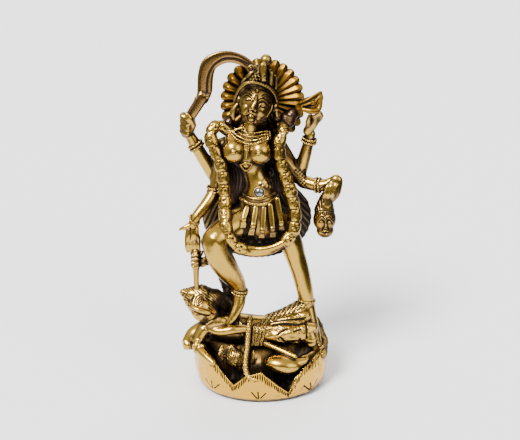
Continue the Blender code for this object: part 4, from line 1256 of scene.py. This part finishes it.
for across, up in ((44.8, -0.9), (50.6, -1.2)):
    severed_face.append(egg(touched(severed_tree, [(across, up)], -0.2)[0], (1.8, 1.0, 1.0)))
severed_nose = ((47.7, 1.2), (47.8, -2.6), (47.7, -4.8))
severed_lips = [arc((45.4, -8.8), (47.6, -7.8), (49.8, -8.8)), arc((45.8, -9.8), (47.6, -10.5), (49.4, -9.8))]
severed_face += bars_on(severed_tree, [severed_nose], radius=0.8, lift=0.5)
severed_face += [egg(touched(severed_tree, [(47.7, -5.3)], 0.5)[0], (1.5, 1.3, 1.1))]
for lip, radius in zip(severed_lips, (0.55, 0.6)):
    severed_face += bars_on(severed_tree, [lip], radius, lift=0.3)
severed_mesh = fused("severed_head", severed_body + severed_face, grid=0.38, rounds=1)
severed_points = read_points(severed_mesh)
severed_lines = [
    *(line - (0.0, 0.8) for line in severed_brows),
    *(line - (0.0, 3.4) for line in severed_brows),
    ((45.2, -9.3), (50.0, -9.3)),
    ((40.0, 6.3), (47.0, 6.6), (54.6, 6.1)),
    ((45.6, -11.8), (49.6, -11.8)),
    ((45.8, -5.6), (45.0, -7.6)),
    ((49.6, -5.6), (50.4, -7.6)),
]
severed_cut = picture_cut(severed_mesh, severed_lines, width=0.42)
from_face = severed_points - SEVERED
hair_share = np.maximum(rise(from_face[:, 2], 5.6, 6.4), rise(from_face[:, 1], -0.5, 0.5))
hair_across = from_face[:, 0] + 0.3 * from_face[:, 1]
severed_hair = hatch(hair_across, from_face[:, 2], spacing=1.5, length=9.0, seed=6)
severed_cut = np.maximum(severed_cut, severed_hair * hair_share)
engrave(severed_mesh, depth=0.42, cut=severed_cut)
severed_head = cast_piece("severed_head", severed_mesh, warm_brass, severed_cut)
part_of_casting(severed_head)

# Skull garland: a heavy cord over both shoulders that hangs below the skirt, strung with skulls. Each
# skull is a barrel with two drilled eyes and a cut mouth; at the lowest stretch two bare strands show.
GARLAND = [
    (-22, 1, 193),
    (-28, 0, 198),
    (-34.5, -2, 195.5),
    (-34.5, -5, 187),
    (-29.5, -7, 175.5),
    (-27, -8, 165.5),
    (-26, -9, 154.5),
    (-25.6, -10, 144.6),
    (-25.3, -15.5, 134.8),
    (-23.6, -20.2, 125.2),
    (-17.3, -20.6, 116.0),
    (-8, -19, 111.5),
    (2, -19, 111.2),
    (10, -18, 113.5),
    (17.5, -16.5, 118.1),
    (23, -14.5, 125.8),
    (24.4, -12.5, 136.9),
    (22.4, -11, 146.6),
    (19.7, -10, 157),
    (16.5, -9, 166.6),
    (13.2, -8, 178),
    (13, -6.5, 188),
    (15, -3, 195.5),
    (13, 2, 199),
]
SKULLS = 25
BARE_STRETCH = (0.47, 0.60)  # shares of the garland's length without skulls


def skull(centre, up, front, size):
    """A long barrel about size wide, with pits for the eyes and nose, an arc for the mouth and two end rings.

    Across it is |sin|^0.42 and along it |cos|^0.85. Each pit or groove takes away exp(-(distance / width)^2)
    times its depth, and comes back as the stain.
    """
    sides, rings = 44, 32
    lean = math.pi * (np.arange(rings) + 0.5) / rings
    ball = round_rings(np.sin(lean) ** 0.42, -np.sign(np.cos(lean)) * np.abs(np.cos(lean)) ** 0.85, sides)
    pits = np.zeros(len(ball))
    for x, z, wide, depth in ((-0.36, 0.16, 0.13, 1.0), (0.36, 0.16, 0.13, 1.0), (0.0, -0.14, 0.08, 0.4)):
        away = np.hypot(ball[:, 0] - x, ball[:, 2] - z)
        pits = np.maximum(pits, depth * np.exp(-((away / wide) ** 2)))
    smile = np.hypot(ball[:, 0] * 0.8, ball[:, 2] - 0.15) - 0.45
    pits = np.maximum(pits, 0.22 * np.exp(-((smile / 0.06) ** 2)) * rise(-ball[:, 2], 0.05, 0.2))
    pits *= rise(-ball[:, 1], 0.0, 0.25)
    rings_cut = 0.45 * np.exp(-(((np.abs(ball[:, 2]) - 0.80) / 0.045) ** 2))
    pits = np.maximum(pits, rings_cut)
    reach = 1 - 0.24 * pits
    side = np.cross(up, front)
    axes = np.stack([side * size, -front * size * 0.94, up * size * 1.24])
    return shell((ball * reach[:, None]) @ axes + centre, rings, sides), pits


garland_path = curve_through(GARLAND, 12)
garland_length = run_length(garland_path)
skull_rng = np.random.default_rng(11)
skull_shells, skull_stain = [], []
for share in (np.arange(SKULLS) + 0.5) / SKULLS:
    if BARE_STRETCH[0] < share < BARE_STRETCH[1]:
        continue
    at = share * garland_length[-1]
    middle, after = (
        np.array([np.interp(place, garland_length, axis) for axis in garland_path.T])
        for place in (at, at + 2)
    )
    run = (after - middle) / np.linalg.norm(after - middle)
    up = run if run[2] > 0 else -run
    spin = skull_rng.uniform(-0.35, 0.35)
    outward = np.array((0.3 * np.sign(middle[0] + 4) * rise(abs(middle[0] + 4), 4, 22) + spin, -1.0, 0.2))
    outward -= up * (outward @ up)
    outward /= np.linalg.norm(outward)
    one_skull, pits = skull(middle, up, outward, 4.7 + skull_rng.uniform(-0.25, 0.3))
    skull_shells.append(one_skull)
    skull_stain.append(pits)
skull_mesh = mesh_of("garland_skulls", skull_shells)
garland_skulls = cast_piece("garland_skulls", skull_mesh, polished_brass, np.concatenate(skull_stain))
part_of_casting(garland_skulls)
# Garland cord: the two-stranded cord that the skulls are strung on. It shows bare at the lowest stretch and
# fills the gaps between the skulls elsewhere. Cast in one with them.


def two_strands(along, angle):
    """Two strands side by side: a cosine of twice the angle that turns slowly along the cord."""
    return 0.8 * np.cos(2 * angle - along * 2 * math.pi / 60) - 0.2


cord_stations = [(*point, 3.6) for point in garland_path[::8]]
cord_mesh = mesh_of("garland_cord", [bar(cord_stations, sides=28, steps=8, pattern=two_strands)])
garland_cord = cast_piece("garland_cord", cord_mesh, polished_brass)
part_of_casting(garland_cord)

# Necklace: a broad collar of bead rows on the chest, a beaded strand between the breasts and a
# three-cornered pendant under it.


def bead_row(tree, line, size, spacing, lift=0.2):
    """Small balls at equal steps along a line that the eye sees on the skin."""
    path = curve_through(line, 12)
    length = run_length(path)
    count = max(round(length[-1] / spacing), 2)
    at = (np.arange(count) + 0.5) / count * length[-1]
    spots = np.column_stack([np.interp(at, length, path[:, 0]), np.interp(at, length, path[:, 1])])
    places = touched(tree, spots, lift, -6)
    return [egg(place, (size, size, size), sides=14, rings=10) for place in places]


collar_top = np.array([(-18.9, 70.0), (-15.5, 66.6), (-10.5, 63.8), (-4.0, 63.2), (2.0, 64.2), (7.6, 64.0)])
collar_low = np.array([(-22.5, 65.4), (-18.4, 59.6), (-12.6, 56.4), (-7.0, 55.0), (-1.0, 56.2), (8.2, 59.6)])
necklace_shells = []
for row in range(4):
    line = collar_top + (collar_low - collar_top) * row / 3
    necklace_shells += bead_row(body_tree, line, 0.95, 1.75)
    necklace_shells.append(bar([(*place, 1.0) for place in touched(body_tree, line, -0.3, -6)], sides=14))
necklace_shells += bead_row(body_tree, [(-9.8, 56.0), (-9.8, 50.0), (-9.9, 43.4)], 0.95, 1.5, 0.6)
for side in (-1.5, 1.5):
    strand = ((-9.8 + side, 55.5), (-9.8 + side, 49.5), (-9.9 + side, 43.8))
    necklace_shells += bars_on(body_tree, [strand], radius=0.5, lift=0.2)
pendant = ((-14.2, 40.6), (-10.2, 36.0), (-6.0, 40.4), (-10.0, 41.8), (-14.2, 40.6))
necklace_shells += bars_on(body_tree, [pendant], radius=0.75, lift=0.4)
necklace_shells.append(egg(touched(body_tree, [(-10.1, 39.8)])[0], (2.2, 1.2, 1.8)))
necklace_mesh = fused("necklace", necklace_shells, grid=0.34, rounds=1)
necklace = cast_piece("necklace", necklace_mesh, polished_brass)
part_of_casting(necklace)

# Belt: a thin smooth ring under the belly and a thicker one below it, ribbed across. Two wax rods laid on
# the body before the casting.


def ribbed(along, angle):
    """Ribs across the belt: a sine of 1.2 mm along it."""
    return 0.28 * np.sin(along * 2 * math.pi / 1.2) + 0 * angle


smooth_line = [((-11.2, 19.2), (-6.2, 15.9), (2.2, 15.8), (10.2, 19.2))]
belt_line = [((-13.4, 15.6), (-8.6, 12.6), (-2.0, 11.2), (4.6, 12.0), (12.0, 17.0))]
belt_shells = bars_on(body_tree, smooth_line, radius=0.85, lift=0.8)
belt_shells += bars_on(body_tree, belt_line, radius=1.35, lift=0.6, steps=40, pattern=ribbed)
belt_mesh = fused("belt", belt_shells, grid=0.3, rounds=1)
belt = cast_piece("belt", belt_mesh, polished_brass)
part_of_casting(belt)

# Fringe of severed arms: flat bright strips that hang from the belt over the black skirt, each with a
# bangle at the wrist and a small open hand.
FRINGE = [
    ((-9.4, 9.1), (-11.6, 1.6), (-12.4, -5.7)),
    ((-3.0, 9.1), (-4.8, -3.2), (-6.6, -10.8)),
    ((2.9, 8.6), (2.0, -6.8), (1.1, -12.9)),
    ((7.4, 10.6), (9.2, -5.7), (9.4, -12.4)),
    ((12.6, 15.0), (15.4, -1.7), (15.9, -7.3)),
]
fringe_shells = []
for top, wrist, tip in FRINGE:
    high, low = seen_at(*top, -14.0 + 0.010 * top[0] ** 2), seen_at(*wrist, -19.0 + 0.014 * wrist[0] ** 2)
    end = seen_at(*tip, -19.2 + 0.014 * tip[0] ** 2)
    down = (end - low) / np.linalg.norm(end - low)
    fringe_shells.append(bar([(*high, 1.8), (*((high + low) / 2), 2.0), (*low, 1.75)], thin=0.6, boxy=0.6))
    fringe_shells.append(bar([(*(low + down * 0.6), 2.0), (*(low + down * 1.2), 2.0)], thin=0.75, boxy=0.6))
    fringe_shells.append(bar([(*(low + down * 2.0), 1.3), (*(low + down * 4.0), 1.8)], thin=0.5))
    for finger in range(4):
        offset = np.array((-1.5 + 1.0 * finger, -0.1, 0))
        knuckle, fingertip = low + down * 3.6 + offset, end + offset * 1.15
        fringe_shells.append(bar([(*knuckle, 0.7), (*fingertip, 0.5)], sides=10))
fringe_mesh = fused("severed_arms", fringe_shells, grid=0.36, rounds=1)
fringe_seen = in_picture(read_points(fringe_mesh))
# Darker towards the right and towards the hands.
fringe_darkening = 0.25 * rise(fringe_seen[:, 0], -4, 8) + 0.35 * rise(-fringe_seen[:, 1], 3, 7)
severed_arms = cast_piece("severed_arms", fringe_mesh, polished_brass, fringe_darkening)
part_of_casting(severed_arms)

# Leaf skirt: a short skirt of dark leaves behind the fringe, in three rows over the hips. Cut with strands
# in the wax and hardly rubbed.
black_brass = antique_brass("black_brass", (0.22, 0.145, 0.045), patina=0.44, shine=0.32)
leaf_shells = [
    egg((-1, 2, 124), (26.5, 13.2, 19.5), sides=64, rings=48),
    bar([(-2, -0.6, 128, 13.6), (-11.5, -3.6, 127.0, 13.2)], sides=48),
]
for row in range(3):
    leaves = 9 + row
    for leaf in range(leaves):
        spread = leaf / (leaves - 1) * 2 - 1
        x = -1 + (23 - 1.5 * row) * spread
        y = 1 - 13.2 * math.sqrt(max(1 - (spread * 0.92) ** 2, 0))
        z = 110.5 + 6.5 * row + 4 * spread**2
        leaf_shells.append(egg((x, y, z), (2.6, 1.5, 6.0), (12, 12 * spread, 0), sides=20, rings=16))
leaf_mesh = fused("leaf_skirt", leaf_shells, grid=0.68, rounds=1)
leaf_points = read_points(leaf_mesh)
leaf_across = leaf_points[:, 0] * (1 + (124 - leaf_points[:, 2]) * 0.012)
leaf_cut = hatch(leaf_across, leaf_points[:, 2], spacing=1.5, length=7.0, seed=12)
engrave(leaf_mesh, depth=0.45, cut=leaf_cut)
leaf_skirt = cast_piece("leaf_skirt", leaf_mesh, black_brass, leaf_cut * 0.6)
part_of_casting(leaf_skirt)

# Back hair: the loose hair spreads behind the skirt in combed strands, almost black. A flat swelling cast
# on the goddess's back.


def combed_hair(centre, radii, pull):
    """A flat egg combed from a point above it: ridges are |sin| of 62 times the angle round that point."""
    points, faces = egg(centre, radii, sides=260, rings=80)
    run = points - np.asarray(pull, float)
    angle = np.arctan2(run[:, 0], -run[:, 2])
    far = np.hypot(run[:, 0], run[:, 2])
    ridge = np.abs(np.sin(angle * 62 + 0.8 * np.sin(far * 0.15)))
    out = (points - centre) / np.asarray(radii) ** 2
    out /= np.linalg.norm(out, axis=1)[:, None]
    return points + out * (0.6 * (ridge - 0.5))[:, None], faces, 1 - ridge


cape_points, cape_faces, cape_cut = combed_hair((-3, 14, 126), (40.3, 6.4, 32.3), (-5, 14, 182))
back_mesh = mesh_of("back_hair", [(cape_points, cape_faces)])
# The combed grooves are darker, and the hair is lighter towards the left.
cape_grooves_and_tone = cape_cut * 0.9 - 0.30 * rise(-cape_points[:, 0], 10, 24)
back_hair = cast_piece("back_hair", back_mesh, black_brass, cape_grooves_and_tone)
part_of_casting(back_hair)
# Hair fall: the upper part of the loose hair, a thick combed lock from the nape to the hips that overlaps
# the spread below it.


def combed(along, angle):
    """Combed ridges along the fall: |sin| of 24 times the angle, which wavers as a sine along it."""
    return 0.7 * (np.abs(np.sin(angle * 24 + np.sin(along * 0.3))) - 0.5)


fall = [(-5, 10, 192, 14), (-7, 12, 172, 18.5), (-5, 13, 148, 23.0)]
fall_mesh = mesh_of("hair_fall", [bar(fall, sides=240, steps=16, thin=0.35, pattern=combed)])
hair_fall = cast_piece("hair_fall", fall_mesh, black_brass)
part_of_casting(hair_fall)

# Flame prop: a feeder that the founder left in place. It rises from the god's head to the open hand, with
# four rope rings round it and a bunch of flames at its side.
prop_shells = [
    bar([(-47, -12, 108, 3.2), (-47, -13, 101, 3.0), (-47, -14, 95, 2.5)]),
    bar([(-47, -14, 96, 2.3), (-47, -14, 84, 2.0), (-46, -14, 75, 2.5)]),
    bar([(-44, -11, 101, 2.6), (-38, -10, 99.5, 2.8), (-32, -9, 102, 2.6)]),
]
for height in (106.5, 103.5, 100.5, 97.5):
    prop_shells.append(rope_ring((-47.2, -12.8, height), 2.9, 1.0, (0, 0, 0), 5))
for x, z, turn in (
    (-43.5, 106, 30),
    (-41.5, 102, 50),
    (-38.5, 105, 10),
    (-36.5, 101, 40),
    (-34.5, 105.5, -10),
    (-41.5, 97.8, 70),
):
    prop_shells.append(egg((x, -12.0, z), (1.5, 1.8, 3.4), (0, turn, 0), sides=18, rings=14))
prop_mesh = fused("flame_prop", prop_shells, grid=0.45, rounds=1)
flame_prop = cast_piece("flame_prop", prop_mesh, warm_brass)
part_of_casting(flame_prop)

# Back prop: the second feeder, a rough dark rod behind the front leg from the hip to the rock. It was never
# cleaned or rubbed.
rough_prop = [(-40, 6, 108, 4.6), (-33, 5, 96, 4.6), (-27, 4, 82, 4.4), (-24.5, 3, 68, 4.8), (-24, 1, 56, 6)]
rough_mesh = fused("back_prop", [bar(rough_prop, sides=28)], grid=0.8)
rough_points = read_points(rough_mesh)
rough_lumps = 0.6 * ripples(rough_points, size=6, seed=31) + 0.25 * ripples(rough_points, size=2.5, seed=32)
engrave(rough_mesh, depth=1.0, cut=rough_lumps)
back_prop = cast_piece("back_prop", rough_mesh, black_brass)
part_of_casting(back_prop)

# Navel stone: a clear glass cabochon over silver foil, pressed into a round seat in the belly. Its node is
# the only one that isn't brass.


def foiled_glass():
    """Clear glass over foil: a bright crackled metal under a clear coat."""
    material = bpy.data.materials.new("foiled_glass")
    material.use_nodes = True
    nodes, links = material.node_tree.nodes, material.node_tree.links
    shader = nodes["Principled BSDF"]
    where = nodes.new("ShaderNodeTexCoord")
    crackle = nodes.new("ShaderNodeTexVoronoi")
    crackle.inputs["Scale"].default_value = 520.0
    links.new(where.outputs["Object"], crackle.inputs["Vector"])
    tone = nodes.new("ShaderNodeMix")
    tone.data_type = "RGBA"
    tone.inputs["A"].default_value = (0.34, 0.36, 0.36, 1)
    tone.inputs["B"].default_value = (0.05, 0.055, 0.06, 1)
    links.new(crackle.outputs["Distance"], tone.inputs["Factor"])
    links.new(tone.outputs["Result"], shader.inputs["Base Color"])
    shader.inputs["Metallic"].default_value = 0.85
    shader.inputs["Roughness"].default_value = 0.12
    shader.inputs["Coat Weight"].default_value = 1.0
    shader.inputs["Coat Roughness"].default_value = 0.03
    return material


stone_low, stone_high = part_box("navel_stone")
stone_centre = np.array((stone_low + stone_high) / 2) / MM
stone_depth = (stone_high.y - stone_low.y) / 2 / MM
stone_radii = (3.5, stone_depth - 0.1, 3.5)
stone_egg = egg(stone_centre + (0, 0.3, 0), stone_radii, (-10, 0, 0), sides=44, rings=30)
stone_mesh = mesh_of("navel_cabochon", [stone_egg])
navel_cabochon = cast_piece("navel_cabochon", stone_mesh, foiled_glass())
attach(navel_cabochon, "root")
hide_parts("navel_stone")

# Stone rim: a fine roped ring round the stone's seat, rolled in wax. The founder pressed it over the edge
# of the stone to hold it.
rim_mesh = mesh_of("stone_rim", [rope_ring(stone_centre + (0, -0.4, 0), 3.9, 0.55, (80, 0, 0), 24, 0.1)])
stone_rim = cast_piece("stone_rim", rim_mesh, polished_brass)
part_of_casting(stone_rim)

# Floor, lights and camera: a plain white sweep, a broad soft light from the upper left front, weaker ones
# from the right and behind, and the camera a little above the figure.
floor_mesh = bpy.data.meshes.new("floor")
sweep = [(-0.18, -1.2, 0), (0.18, -1.2, 0), (0.24, -0.05, 0), (2.6, 5, 0), (-2.6, 5, 0), (-0.24, -0.05, 0)]
floor_mesh.from_pydata(sweep, [], [range(6)])
floor = placed("floor", floor_mesh)
paper = bpy.data.materials.new("paper")
paper.use_nodes = True
paper.node_tree.nodes["Principled BSDF"].inputs["Base Color"].default_value = (0.93, 0.93, 0.935, 1)
paper.node_tree.nodes["Principled BSDF"].inputs["Roughness"].default_value = 0.9
floor_mesh.materials.append(paper)
floor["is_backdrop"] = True

world = bpy.data.worlds.new("studio")
world.use_nodes = True
sky, sky_links = world.node_tree.nodes, world.node_tree.links
direction = sky.new("ShaderNodeTexCoord")
height = sky.new("ShaderNodeSeparateXYZ")
glow = sky.new("ShaderNodeMapRange")
glow.inputs["From Min"].default_value = 0.05
glow.inputs["From Max"].default_value = 0.90
glow.inputs["To Min"].default_value = 0.06
glow.inputs["To Max"].default_value = 0.95
window = sky.new("ShaderNodeMapRange")
window.inputs["From Min"].default_value = -0.20
window.inputs["From Max"].default_value = -0.85
window.inputs["To Max"].default_value = 0.45
both = sky.new("ShaderNodeMath")
sky_links.new(direction.outputs["Generated"], height.inputs["Vector"])
sky_links.new(height.outputs["Z"], glow.inputs["Value"])
sky_links.new(height.outputs["X"], window.inputs["Value"])
sky_links.new(glow.outputs["Result"], both.inputs[0])
sky_links.new(window.outputs["Result"], both.inputs[1])
sky_links.new(both.outputs["Value"], sky["Background"].inputs["Strength"])
sky["Background"].inputs["Color"].default_value = (1.0, 1.0, 1.0, 1)
bpy.context.scene.world = world

for name, place, spread, strength in (
    ("key", (-0.55, -0.80, 1.00), 22, 7.5),
    ("fill", (0.75, -0.75, 0.55), 40, 1.2),
    ("back", (0.10, 0.80, 0.90), 50, 1.5),
):
    lamp = bpy.data.lights.new(name, "SUN")
    lamp.angle = math.radians(spread)
    lamp.energy = strength
    holder = placed(name, lamp)
    holder.location = place
    holder.rotation_euler = Vector(place).to_track_quat("Z", "Y").to_euler()

lens = bpy.data.cameras.new("camera")
lens.lens = 68.6
lens.sensor_width = 36
camera = placed("camera", lens)
camera.location = EYE * MM
camera.rotation_euler = (math.pi / 2 - EYE_LEAN, 0, 0)
bpy.context.scene.camera = camera

low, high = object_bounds()
